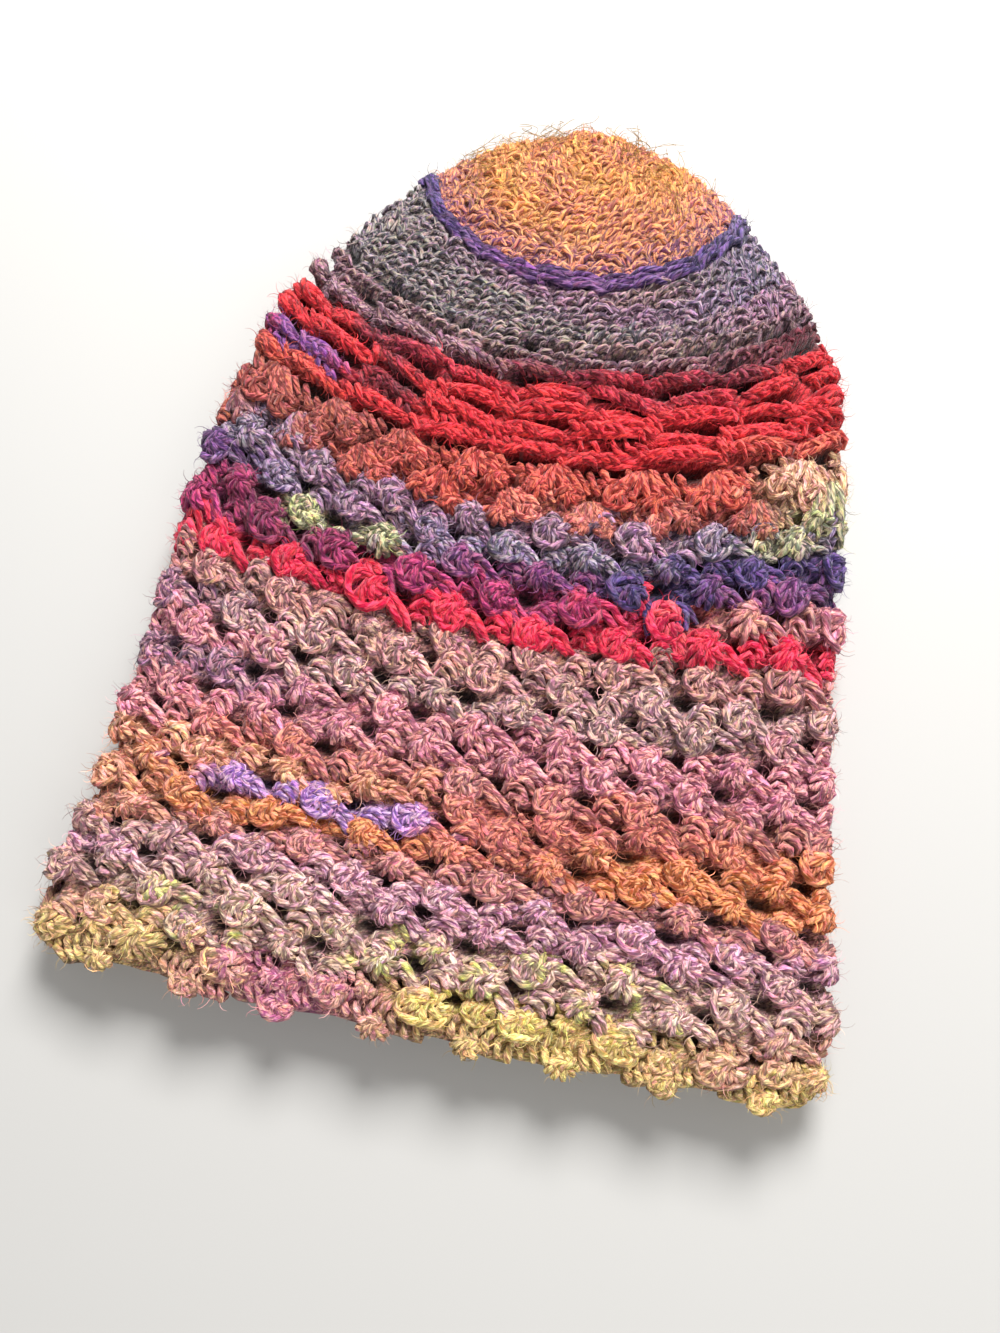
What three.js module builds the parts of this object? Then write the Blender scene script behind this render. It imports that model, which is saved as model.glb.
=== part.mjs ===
// Crochet hat, long and loose, lying on its back with the mouth towards -Y and the crown towards +Y.
// A thick knitted tube, pressed flat under its own weight and closed by a round crown disc that is
// folded over at the tip. It is worked in rounds from the crown down, and each band of rounds in one
// stitch is a solid of its own. Millimetres, +Z up, underside on Z = 0.

import * as THREE from 'three';

// Driving sizes
const WALL = 5;              // knitted wall without the raised stitches
const BAND_GAP = 0.4;        // clear space between one band and the next
const UNITS = 17;            // stitch groups in every round
const SEAM_X = 2.3;          // the line on the front where a stitch group is centred
const PLAN_MID_X = 0.345;     // middle of the outline, measured in the table's own plan
const PLAN_MID_Y = 171.74;
const ROUND_LENGTH = 8.3;    // usual length of one round, to turn the gap into rounds

// Stitches: how far a group stands out of the wall at its middle and between groups, how far the
// edge of the band waves, in rounds, and where in the round the stitch is thickest
const STITCHES = {
  edging: { middle: 3.0, between: 1.2, wave: 0.3, crest: 0.45 },
  bobble: { middle: 3.8, between: 1.5, wave: 0.12, crest: 0.38 },
  shell: { middle: 4.6, between: 1.6, wave: 0.2, crest: 0.34 },
  ridge: { middle: 1.2, between: 2.8, wave: 0, crest: 0.5 },
  braid: { middle: 2.2, between: 2.2, wave: 0, crest: 0.5 },
};

// Bands from the hem to the crown: rounds in the band, stitch, and whether its first round is
// shifted by half a stitch group
const BANDS = [
  { name: 'hem_scallops', rounds: 2, stitch: 'edging', shifted: true, colour: 0xd0a35c },
  { name: 'flecked_bobbles', rounds: 2, stitch: 'bobble', shifted: true, colour: 0xb08a72 },
  { name: 'mauve_bobbles', rounds: 3, stitch: 'bobble', shifted: true, colour: 0x96646f },
  { name: 'orange_bobbles', rounds: 3, stitch: 'bobble', shifted: false, colour: 0xc06b45 },
  { name: 'rose_bobbles', rounds: 3, stitch: 'bobble', shifted: false, colour: 0xb65c63 },
  { name: 'tan_bobbles', rounds: 3, stitch: 'bobble', shifted: true, colour: 0x9b6a66 },
  { name: 'crimson_shells', rounds: 2, stitch: 'shell', shifted: true, colour: 0xb02747 },
  { name: 'purple_shells', rounds: 3, stitch: 'shell', shifted: true, colour: 0x56406c },
  { name: 'salmon_shells', rounds: 2, stitch: 'shell', shifted: false, colour: 0xb85a50 },
  { name: 'red_ridges', rounds: 4, stitch: 'ridge', shifted: false, colour: 0xb8303a },
  { name: 'crown_ridges', rounds: 6, stitch: 'ridge', shifted: false, colour: 0x6f5a68 },
  { name: 'crown_stripe', rounds: 1, stitch: 'braid', shifted: false, colour: 0x4a3a76 },
];
const CROWN_DISC = { name: 'crown_disc', colour: 0xc98252 };
const DISC_OUTER_ROUNDS = [1.5, 3, 4.4, 5.6];   // rounds in from the edge of the disc
const DISC_INNER_ROUNDS = [5.2, 3.6, 1.8];
const DISC_RISE = 1.6;

// Shape of the hat: one row for each measured round.
// front, side and under are the Y of the round on the upper face, at the side folds and on the
// face below; middle and half are the X of its middle and its half width; top, fold and floor are
// its heights; bulge is 1 for a round section and less for a flat one with full edges; arch is 1
// where the round bends across the face as a parabola and 0.5 as an ellipse; lean lifts the left
// end of the round above the right end.
const SHAPE_COLUMNS = [
  'round', 'front', 'side', 'under', 'middle', 'half', 'top', 'fold', 'floor', 'bulge', 'arch', 'lean',
];
const SHAPE = [
  [0, -2, 1, 5, 1, 126, 21, 11, 0, 0.42, 1, 3],
  [2, 13.5, 15, 20, 0.3, 128.8, 22.5, 11.5, 0, 0.42, 1, 3],
  [4, 30.3, 32, 37, 1, 128, 24, 12, 0, 0.42, 1, 3.5],
  [7, 52.7, 55.5, 60, 2.6, 123.5, 24.5, 12.5, 0, 0.42, 1, 4],
  [10, 75.1, 80, 84, 2.4, 120.7, 24.5, 12.5, 0, 0.42, 1, 4],
  [13, 102.3, 110, 112, 2.4, 119.4, 24.5, 12.5, 0, 0.42, 1, 5],
  [16, 131.4, 144, 143, 1.5, 117.4, 25, 12.5, 0, 0.42, 1, 6],
  [18, 150.4, 168, 163, 2.2, 115.6, 25.5, 13, 0, 0.42, 1, 6],
  [21, 175.9, 198, 190, 2.4, 113, 26, 13, 0, 0.42, 0.95, 5],
  [23, 195.7, 223.5, 212, 4, 111, 27, 13.5, 0, 0.42, 0.9, 4],
  [27, 226.5, 259, 247, 7.6, 101, 28.5, 14, 0, 0.42, 0.8, 3],
  [30, 246.7, 286, 272, 8.8, 86, 29.5, 14.5, 0, 0.42, 0.7, 2],
  [33, 266.8, 313, 303, 7.8, 64, 30, 14.5, 0, 0.46, 0.6, 1],
  [34, 273.4, 319, 310.5, 7.2, 59, 30, 14.5, 0, 0.48, 0.5, 0],
  [35, 282.5, 326, 319.5, 7.2, 51.5, 30.2, 14.3, 0, 0.51, 0.5, 0],
  [36, 291.5, 333, 328.5, 7.5, 43.5, 30.3, 14.1, 0.3, 0.56, 0.5, 0],
  [37, 300.6, 339.5, 337, 7.8, 34.5, 30.2, 14, 1.5, 0.64, 0.5, 0],
  [38, 309.7, 343.5, 343.7, 8.2, 25, 30, 14.5, 5, 0.74, 0.5, 0],
  [39, 318.8, 344.3, 346.8, 8.5, 16, 29.6, 17.5, 11, 0.86, 0.5, 0],
  [40, 328, 341, 345, 9, 8, 28.8, 24, 20, 1, 0.5, 0],
  [41, 337, 337, 337, 9, 0, 27.2, 27.2, 27.2, 1, 0.5, 0],
];
const POLE_ROUND = 41;
const DISC_HALF_WIDTH = 59;

// Steps used when a round is measured and when its surface is differentiated
const FINE_STEPS = 360;
const TOWARDS_CROWN_STEP = 0.2;
const ALONG_ROUND_STEP = 0.004;

// Columns of every band: parts of the way round where each stretch starts, and columns in it.
// They are close together round the two folds and wide apart on the face that lies down.
const STRETCHES = [
  { name: 'right of upper face', from: 0, columns: 11 },
  { name: 'right fold', from: 0.21, columns: 7 },
  { name: 'face below', from: 0.29, columns: 15 },
  { name: 'left fold', from: 0.71, columns: 7 },
  { name: 'left of upper face', from: 0.79, columns: 11 },
];
const rows = SHAPE.map((values) => Object.fromEntries(
  SHAPE_COLUMNS.map((column, index) => [column, values[index]]),
));

// Slope of one column at one row, from the rows on both sides of it
function slopeAt(index, column) {
  const before = rows[Math.max(index - 1, 0)];
  const after = rows[Math.min(index + 1, rows.length - 1)];
  return (after[column] - before[column]) / (after.round - before.round);
}

// Row of the shape at any round, on smooth curves through the table's rows
function shapeAt(round) {
  const last = rows.length - 2;
  let index = 0;
  while (index < last && round >= rows[index + 1].round) index += 1;
  const low = rows[index];
  const high = rows[index + 1];
  const span = high.round - low.round;
  const t = (round - low.round) / span;
  const shape = { round };
  for (const column of SHAPE_COLUMNS.slice(1)) {
    if (t < 0) {
      shape[column] = low[column] + slopeAt(index, column) * (round - low.round);
      continue;
    }
    const startSlope = slopeAt(index, column) * span;
    const endSlope = slopeAt(index + 1, column) * span;
    shape[column] = low[column] * (1 + 2 * t) * (1 - t) ** 2
      + startSlope * t * (1 - t) ** 2
      + high[column] * t ** 2 * (3 - 2 * t)
      + endSlope * t ** 2 * (t - 1);
  }
  shape.half = Math.max(shape.half, 0);
  return shape;
}

function signedPower(value, power) {
  return Math.sign(value) * Math.abs(value) ** power;
}

// Point of a flattened round: angle 90 degrees is the middle of the upper face, 0 the right fold
function pointOnRound(shape, angle) {
  const across = signedPower(Math.cos(angle), shape.bulge);
  const upward = signedPower(Math.sin(angle), shape.bulge);
  const faceY = upward >= 0 ? shape.front : shape.under;
  const faceZ = upward >= 0 ? shape.top : shape.floor;
  const towardsMiddle = Math.max(1 - across ** 2, 0) ** shape.arch;
  return new THREE.Vector3(
    shape.middle + shape.half * across,
    shape.side + (faceY - shape.side) * towardsMiddle - shape.lean * across,
    shape.fold + (faceZ - shape.fold) * Math.abs(upward),
  );
}

// A round as a fine closed line, with its running length and the length at the seam line, which
// runs in to the pole across the crown disc
const measuredRounds = new Map();
function measuredRound(round) {
  const key = round.toFixed(5);
  if (measuredRounds.has(key)) return measuredRounds.get(key);
  const shape = shapeAt(round);
  const points = [];
  const lengths = [0];
  for (let step = 0; step <= FINE_STEPS; step += 1) {
    const angle = Math.PI / 2 - (2 * Math.PI * step) / FINE_STEPS;
    points.push(pointOnRound(shape, angle));
    if (step > 0) lengths.push(lengths[step - 1] + points[step].distanceTo(points[step - 1]));
  }
  const seam = (SEAM_X - shape.middle) * Math.min(shape.half / DISC_HALF_WIDTH, 1);
  const measured = { points, lengths, total: lengths[FINE_STEPS], seam };
  measuredRounds.set(key, measured);
  return measured;
}

// Point of the bare wall's outer face, at a part of the way round from the seam line
function wallPoint(round, part) {
  const { points, lengths, total, seam } = measuredRound(round);
  if (total === 0) return points[0].clone();
  const turn = part + seam / total;
  const target = (turn - Math.floor(turn)) * total;
  let low = 0;
  let high = FINE_STEPS;
  while (high - low > 1) {
    const middle = Math.floor((low + high) / 2);
    if (lengths[middle] <= target) low = middle;
    else high = middle;
  }
  const share = (target - lengths[low]) / (lengths[high] - lengths[low]);
  return points[low].clone().lerp(points[high], share);
}

// Direction out of the wall
function wallNormal(round, part) {
  const highest = POLE_ROUND - TOWARDS_CROWN_STEP;
  const centre = Math.min(round, highest);
  const along = wallPoint(centre, part + ALONG_ROUND_STEP).sub(wallPoint(centre, part - ALONG_ROUND_STEP));
  const upwards = wallPoint(centre + TOWARDS_CROWN_STEP, part)
    .sub(wallPoint(centre - TOWARDS_CROWN_STEP, part));
  return along.cross(upwards).normalize();
}

// Point of the knitted surface: raised out of the wall, and pressed flat where it rests
function raisedPoint(round, part, height) {
  const point = wallPoint(round, part).addScaledVector(wallNormal(round, part), height);
  point.z = Math.max(point.z, 0);
  return point;
}

function placed(point) {
  return [point.x - PLAN_MID_X, point.y - PLAN_MID_Y, point.z];
}

// How far into its stitch group a column is: 1 at the group's middle, -0.5 between two groups
function groupWave(part, shifted) {
  return Math.cos(2 * Math.PI * (part * UNITS + (shifted ? 0.5 : 0)));
}

// Height of the stitches of one round above the wall
function stitchHeight(stitch, part, shifted) {
  const nearMiddle = (groupWave(part, shifted) + 1) / 2;
  return stitch.between + (stitch.middle - stitch.between) * nearMiddle;
}

// Closed skin over a grid of columns by section points, with a pole where the section has one
function skin(sections, colour, name) {
  const count = sections[0].length;
  const positions = [];
  const indices = [];
  const index = (column, row) => (column % sections.length) * count + (row % count);
  for (const section of sections) {
    for (const point of section) positions.push(...placed(point));
  }
  const add = (a, b, c) => {
    const samePlace = (p, q) => [0, 1, 2].every((k) => positions[3 * p + k] === positions[3 * q + k]);
    if (!samePlace(a, b) && !samePlace(b, c) && !samePlace(c, a)) indices.push(a, b, c);
  };
  for (let column = 0; column < sections.length; column += 1) {
    for (let row = 0; row < count; row += 1) {
      const corner = index(column, row);
      const right = index(column + 1, row);
      const above = index(column, row + 1);
      const opposite = index(column + 1, row + 1);
      // The lower edge face is cut along the diagonal of the upper edge face that it meets
      if (row === count - 1) {
        add(corner, right, above);
        add(right, opposite, above);
      } else {
        add(corner, right, opposite);
        add(corner, opposite, above);
      }
    }
  }
  const geometry = new THREE.BufferGeometry();
  geometry.setAttribute('position', new THREE.Float32BufferAttribute(positions, 3));
  geometry.setIndex(indices);
  geometry.computeVertexNormals();
  const material = new THREE.MeshStandardMaterial({ color: colour, roughness: 0.95, metalness: 0 });
  const mesh = new THREE.Mesh(geometry, material);
  mesh.name = name;
  return mesh;
}

// Shift of the edge between two bands at one column, shared by both of them
function edgeWave(bandIndex, part) {
  if (bandIndex >= BANDS.length) return 0;
  const band = BANDS[bandIndex];
  return -STITCHES[band.stitch].wave * groupWave(part, band.shifted);
}

// Section of a band of rounds at one column: up its outer face, then down its inner face
function bandSection(bandIndex, firstRound, part) {
  const band = BANDS[bandIndex];
  const stitch = STITCHES[band.stitch];
  const halfGap = BAND_GAP / 2 / ROUND_LENGTH;
  const lastRound = firstRound + band.rounds;
  const lowEdge = firstRound + halfGap + edgeWave(bandIndex, part);
  const highEdge = lastRound - halfGap + edgeWave(bandIndex + 1, part);
  const edgeHeight = bandIndex === 0 ? stitch.between : 0;
  const section = [raisedPoint(lowEdge, part, edgeHeight)];
  for (let round = firstRound; round < lastRound; round += 1) {
    const shifted = ((round - firstRound) % 2 === 1) !== band.shifted;
    const crest = round + stitch.crest + (round === firstRound ? edgeWave(bandIndex, part) / 2 : 0);
    section.push(raisedPoint(crest, part, stitchHeight(stitch, part, shifted)));
    if (round + 1 < lastRound) section.push(raisedPoint(round + 1, part, 0));
  }
  section.push(raisedPoint(highEdge, part, 0));
  const innerPoint = (round) => wallPoint(round, part).addScaledVector(wallNormal(round, part), -WALL);
  section.push(innerPoint(highEdge));
  if (band.rounds > 3) section.push(innerPoint((lowEdge + highEdge) / 2));
  section.push(innerPoint(lowEdge));
  return section;
}

// Section of the crown disc at one column: from its edge to the pole, then back inside the wall
function discSection(firstRound, part) {
  const halfGap = BAND_GAP / 2 / ROUND_LENGTH;
  const edge = firstRound + halfGap;
  const pole = wallPoint(POLE_ROUND, 0);
  const poleNormal = new THREE.Vector3(0, 0.16, 1).normalize();
  const section = [raisedPoint(edge, part, 0)];
  for (const inwards of DISC_OUTER_ROUNDS) section.push(raisedPoint(firstRound + inwards, part, DISC_RISE));
  section.push(pole.clone().addScaledVector(poleNormal, DISC_RISE));
  section.push(pole.clone().addScaledVector(poleNormal, -WALL));
  for (const inwards of [...DISC_INNER_ROUNDS, halfGap]) {
    const round = firstRound + inwards;
    section.push(wallPoint(round, part).addScaledVector(wallNormal(round, part), -WALL));
  }
  return section;
}

function everyColumn(sectionAt) {
  return STRETCHES.flatMap((stretch, index) => {
    const to = index + 1 < STRETCHES.length ? STRETCHES[index + 1].from : 1;
    const step = (to - stretch.from) / stretch.columns;
    return Array.from({ length: stretch.columns }, (_, column) => sectionAt(stretch.from + column * step));
  });
}

const hat = new THREE.Group();
hat.name = 'crochet_hat';
let nextRound = 0;
BANDS.forEach((band, bandIndex) => {
  const firstRound = nextRound;
  const sections = everyColumn((part) => bandSection(bandIndex, firstRound, part));
  hat.add(skin(sections, band.colour, band.name));
  nextRound += band.rounds;
});
const discEdge = nextRound;
hat.add(skin(everyColumn((part) => discSection(discEdge, part)), CROWN_DISC.colour, CROWN_DISC.name));

export default hat;
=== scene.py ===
"""The crochet hat as it looks: looped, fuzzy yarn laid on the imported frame, band by band.

Sizes are in millimetres and are turned into metres where a mesh is made. A place on the hat is given by
its round, counted from the hem, by its turn, the part of the way round from a line on the upper face, and
by how far it stands out of the bare knitted wall.
"""

import logging
import math
from dataclasses import dataclass, replace
from enum import Enum

import bpy
import numpy as np
from mathutils import Matrix


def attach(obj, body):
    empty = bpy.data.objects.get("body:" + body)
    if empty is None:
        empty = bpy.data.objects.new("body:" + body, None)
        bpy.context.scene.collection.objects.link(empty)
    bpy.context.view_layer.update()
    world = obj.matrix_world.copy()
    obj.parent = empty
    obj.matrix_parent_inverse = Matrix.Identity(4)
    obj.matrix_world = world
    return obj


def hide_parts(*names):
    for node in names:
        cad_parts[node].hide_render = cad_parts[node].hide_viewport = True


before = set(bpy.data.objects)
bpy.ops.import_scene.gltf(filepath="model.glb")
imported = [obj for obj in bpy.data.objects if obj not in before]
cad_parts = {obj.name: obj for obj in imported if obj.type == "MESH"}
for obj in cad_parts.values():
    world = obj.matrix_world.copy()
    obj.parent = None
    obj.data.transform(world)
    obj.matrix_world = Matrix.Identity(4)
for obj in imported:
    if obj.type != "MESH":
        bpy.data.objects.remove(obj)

Array = np.ndarray
Piece = bpy.types.Object
Socket = bpy.types.NodeSocket
Spot = tuple[float, float, float]

log = logging.getLogger("crochet_hat")

MM = 0.001
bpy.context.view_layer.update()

# Shape of the hat: one row for each measured round, in the plan that the outline was measured in.
# front, side and under are the Y of the round on the upper face, at the folds and on the face below;
# middle and half are the X of its middle and its half width; top, fold and floor are its heights; bulge
# is 1 for a round section and less for a flat one; arch is 1 where the round bends across the face as a
# parabola and 0.5 as an ellipse; lean lifts the left end of the round above the right end.
SHAPE_COLUMNS = (
    "round", "front", "side", "under", "middle", "half", "top", "fold", "floor", "bulge", "arch", "lean",
)
SHAPE = (
    (0, -2, 1, 5, 1, 126, 21, 11, 0, 0.42, 1, 3),
    (2, 13.5, 15, 20, 0.3, 128.8, 22.5, 11.5, 0, 0.42, 1, 3),
    (4, 30.3, 32, 37, 1, 128, 24, 12, 0, 0.42, 1, 3.5),
    (7, 52.7, 55.5, 60, 2.6, 123.5, 24.5, 12.5, 0, 0.42, 1, 4),
    (10, 75.1, 80, 84, 2.4, 120.7, 24.5, 12.5, 0, 0.42, 1, 4),
    (13, 102.3, 110, 112, 2.4, 119.4, 24.5, 12.5, 0, 0.42, 1, 5),
    (16, 131.4, 144, 143, 1.5, 117.4, 25, 12.5, 0, 0.42, 1, 6),
    (18, 150.4, 168, 163, 2.2, 115.6, 25.5, 13, 0, 0.42, 1, 6),
    (21, 175.9, 198, 190, 2.4, 113, 26, 13, 0, 0.42, 0.95, 5),
    (23, 195.7, 223.5, 212, 4, 111, 27, 13.5, 0, 0.42, 0.9, 4),
    (27, 226.5, 259, 247, 7.6, 101, 28.5, 14, 0, 0.42, 0.8, 3),
    (30, 246.7, 286, 272, 8.8, 86, 29.5, 14.5, 0, 0.42, 0.7, 2),
    (33, 266.8, 313, 303, 7.8, 64, 30, 14.5, 0, 0.46, 0.6, 1),
    (34, 273.4, 319, 310.5, 7.2, 59, 30, 14.5, 0, 0.48, 0.5, 0),
    (35, 282.5, 326, 319.5, 7.2, 51.5, 30.2, 14.3, 0, 0.51, 0.5, 0),
    (36, 291.5, 333, 328.5, 7.5, 43.5, 30.3, 14.1, 0.3, 0.56, 0.5, 0),
    (37, 300.6, 339.5, 337, 7.8, 34.5, 30.2, 14, 1.5, 0.64, 0.5, 0),
    (38, 309.7, 343.5, 343.7, 8.2, 25, 30, 14.5, 5, 0.74, 0.5, 0),
    (39, 318.8, 344.3, 346.8, 8.5, 16, 29.6, 17.5, 11, 0.86, 0.5, 0),
    (40, 328, 341, 345, 9, 8, 28.8, 24, 20, 1, 0.5, 0),
    (41, 337, 337, 337, 9, 0, 27.2, 27.2, 27.2, 1, 0.5, 0),
)
POLE_ROUND = 41
DISC_HALF_WIDTH = 59
SEAM_X = 2.3
PLAN_MID = (0.345, 171.74)      # middle of the outline in the table's plan
UNITS = 17                      # stitch groups in a round of the body
GROUND_RIBS = 2 * math.pi * 2   # turn of the ribs on the ground for each round
RIB_SLANT = 2 * math.pi * 51    # and for once round the hat


def curve_weights(knots: Array, at: float) -> Array:
    """Weights that some points have for one place on a smooth curve through them.

    Args:
        knots: how far along the curve each point lies.
        at: how far along it the place lies.

    Returns:
        One weight for each point.
    """
    last = len(knots) - 1
    low = int(np.clip(np.searchsorted(knots, at, side="right") - 1, 0, last - 1))
    span = knots[low + 1] - knots[low]
    t = (at - knots[low]) / span
    weights = np.zeros(len(knots))
    weights[low] += (1 + 2 * t) * (1 - t) ** 2
    weights[low + 1] += t**2 * (3 - 2 * t)
    for index, factor in ((low, span * t * (1 - t) ** 2), (low + 1, span * t**2 * (t - 1))):
        before, after = max(index - 1, 0), min(index + 1, last)
        width = knots[after] - knots[before]
        weights[after] += factor / width
        weights[before] -= factor / width
    return weights


@dataclass
class HatSurface:
    """The bare outer face of the knitted wall, measured once on a fine grid.

    Attributes:
        pace: rounds between two rows of the grid.
        columns: columns of the grid.
        fine: steps in which a round is measured.
        lowest: the round below the hem where the grid starts.
        highest: the round beside the pole where it ends.
        press: how softly yarn is pressed flat where it rests, in mm.
    """

    pace: float = 0.125
    columns: int = 512
    fine: int = 720
    lowest: float = -1.5
    highest: float = POLE_ROUND - 0.25
    press: float = 1.2

    def __post_init__(self) -> None:
        """Measure every round of the grid and the directions out of the wall."""
        self.rows = np.arange(self.lowest, self.highest + self.pace / 2, self.pace)
        measured = [self._round(row) for row in self.rows]
        self.points = np.array([points for points, _ in measured])
        self.lengths = np.array([length for _, length in measured])
        along = np.roll(self.points, -1, axis=1) - np.roll(self.points, 1, axis=1)
        normals = np.cross(along, np.gradient(self.points, axis=0))
        self.normals = normals / np.linalg.norm(normals, axis=2, keepdims=True)

    @staticmethod
    def _shape_at(at_round: float) -> dict[str, float]:
        """Row of the shape at any round, on smooth curves that run straight on below the first row.

        Args:
            at_round: the round.

        Returns:
            The table's columns by name.
        """
        table = np.array(SHAPE, float)
        rounds = table[:, 0]
        below = min(at_round - rounds[0], 0)
        values = curve_weights(rounds, at_round - below) @ table
        values += (table[1] - table[0]) / (rounds[1] - rounds[0]) * below
        shape = dict(zip(SHAPE_COLUMNS, values))
        shape["half"] = max(shape["half"], 0.0)
        return shape

    def _round(self, at_round: float) -> tuple[Array, float]:
        """Points of one round at even turns, and its length.

        Args:
            at_round: the round.

        Returns:
            Points in mm, starting on the seam line of the upper face, and the length in mm.
        """
        shape = self._shape_at(at_round)
        angle = math.pi / 2 - 2 * math.pi * np.arange(self.fine + 1) / self.fine
        across, upward = (
            np.sign(side) * np.abs(side) ** shape["bulge"] for side in (np.cos(angle), np.sin(angle))
        )
        face_y = np.where(upward >= 0, shape["front"], shape["under"])
        face_z = np.where(upward >= 0, shape["top"], shape["floor"])
        to_middle = np.maximum(1 - across**2, 0) ** shape["arch"]
        points = np.stack(
            (
                shape["middle"] + shape["half"] * across - PLAN_MID[0],
                shape["side"] + (face_y - shape["side"]) * to_middle - shape["lean"] * across - PLAN_MID[1],
                shape["fold"] + (face_z - shape["fold"]) * np.abs(upward),
            ),
            axis=1,
        )
        steps = np.linalg.norm(np.diff(points, axis=0), axis=1)
        run = np.concatenate(([0.0], np.cumsum(steps)))
        seam = (SEAM_X - shape["middle"]) * min(shape["half"] / DISC_HALF_WIDTH, 1)
        target = (np.arange(self.columns) / self.columns * run[-1] + seam) % run[-1]
        even = np.stack([np.interp(target, run, points[:, axis]) for axis in range(3)], axis=1)
        return even, float(run[-1])

    def _sample(self, grid: Array, rounds: Array, turns: Array) -> Array:
        """Value of a grid between its rows and columns.

        Args:
            grid: rows by columns by three.
            rounds: rounds of the wanted places.
            turns: turns of the wanted places.

        Returns:
            One vector for each place.
        """
        row = np.clip((rounds - self.rows[0]) / self.pace, 0, len(self.rows) - 1.001)
        column = (turns % 1.0) * self.columns
        r0 = row.astype(int)
        c0 = column.astype(int) % self.columns
        c1 = (c0 + 1) % self.columns
        fr = (row - r0)[..., None]
        fc = (column - np.floor(column))[..., None]
        low, high = (grid[r, c0] * (1 - fc) + grid[r, c1] * fc for r in (r0, r0 + 1))
        return low * (1 - fr) + high * fr

    def length(self, at_round: float) -> float:
        """Length of one round in mm."""
        return float(np.interp(at_round, self.rows, self.lengths))

    def place(self, rounds: Array, turns: Array, out: Array, rest: Array | float) -> Array:
        """Points that stand out of the wall, pressed flat where the hat rests.

        Args:
            rounds: their rounds.
            turns: their turns.
            out: how far each stands out of the bare wall, in mm.
            rest: lowest height that each may have, in mm.

        Returns:
            The points in mm.
        """
        normals = self._sample(self.normals, rounds, turns)
        normals /= np.linalg.norm(normals, axis=-1, keepdims=True)
        points = self._sample(self.points, rounds, turns) + normals * np.asarray(out)[..., None]
        rise = (points[..., 2] - rest) / self.press
        points[..., 2] = rest + self.press * np.logaddexp(0, rise)
        return points


class Shade(Enum):
    """Named shades of the yarn: the colour of most fibres, and of the lighter ones mixed in."""

    OCHRE = ("#b88c5c", "#f8d898")
    YELLOW = ("#d0a45c", "#ffe898")
    PINK_HEM = ("#b8607a", "#eeaeb0")
    PEACH = ("#b07664", "#eebaa2")
    GREIGE = ("#a4766e", "#f4d0c0")
    LIME_FLECK = ("#b49c68", "#e8e48c")
    MAUVE = ("#965c6c", "#eab8c4")
    MAUVE_TAN = ("#956464", "#e4bcb0")
    ORANGE = ("#b4552c", "#f8a878")
    PEACH_ORANGE = ("#b4684e", "#f8b89a")
    LILAC = ("#8e5c9c", "#dcb0e0")
    CORAL = ("#a44e4a", "#ec9684")
    ROSE = ("#a45664", "#f2aab0")
    DUSK_ROSE = ("#75485e", "#c898a8")
    TAUPE = ("#865c5e", "#e0b8b0")
    TAN = ("#8c5858", "#e2aca2")
    DUSTY_ROSE = ("#9a5658", "#e4a29a")
    CRIMSON = ("#cc1238", "#f44c64")
    PLUM = ("#581630", "#8c4462")
    MAGENTA = ("#7c1a46", "#c04c7a")
    VIOLET = ("#46264e", "#80588c")
    INDIGO = ("#302248", "#68548a")
    SLATE = ("#544058", "#a692b0")
    GREY_LILAC = ("#54465a", "#ac9cb0")
    GREY_MAUVE = ("#664456", "#bc96ac")
    MOSS = ("#7c7258", "#d8d6a4")
    SALMON = ("#a02c28", "#e4705e")
    SALMON_BROWN = ("#843430", "#c06c60")
    CREAM = ("#a86c54", "#eec2a2")
    RED = ("#b01420", "#ee444a")
    DEEP_RED = ("#8a1226", "#c8404e")
    WINE = ("#541420", "#8c404c")
    WINE_GREY = ("#643e4a", "#b08c94")
    GREY = ("#584a52", "#b2a2a0")
    GREY_BROWN = ("#60464a", "#b89a98")
    HEATHER = ("#88486a", "#eca47c")
    GOLD = ("#d27848", "#fcbc6c")
    GOLD_MAUVE = ("#a8506a", "#fcb074")
    WISP = ("#a0722c", "#dcb45c")
    ASH = ("#544a52", "#b4a8a6")
    MULBERRY = ("#5c2450", "#a05c88")
    PURPLE = ("#6c3478", "#b070b0")


Dye = int | Shade | None
FLECK = ((-2.6, Shade.GREIGE), (-0.8, Shade.LIME_FLECK), (0.8, Shade.LIME_FLECK), (2.6, Shade.GREIGE))

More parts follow.
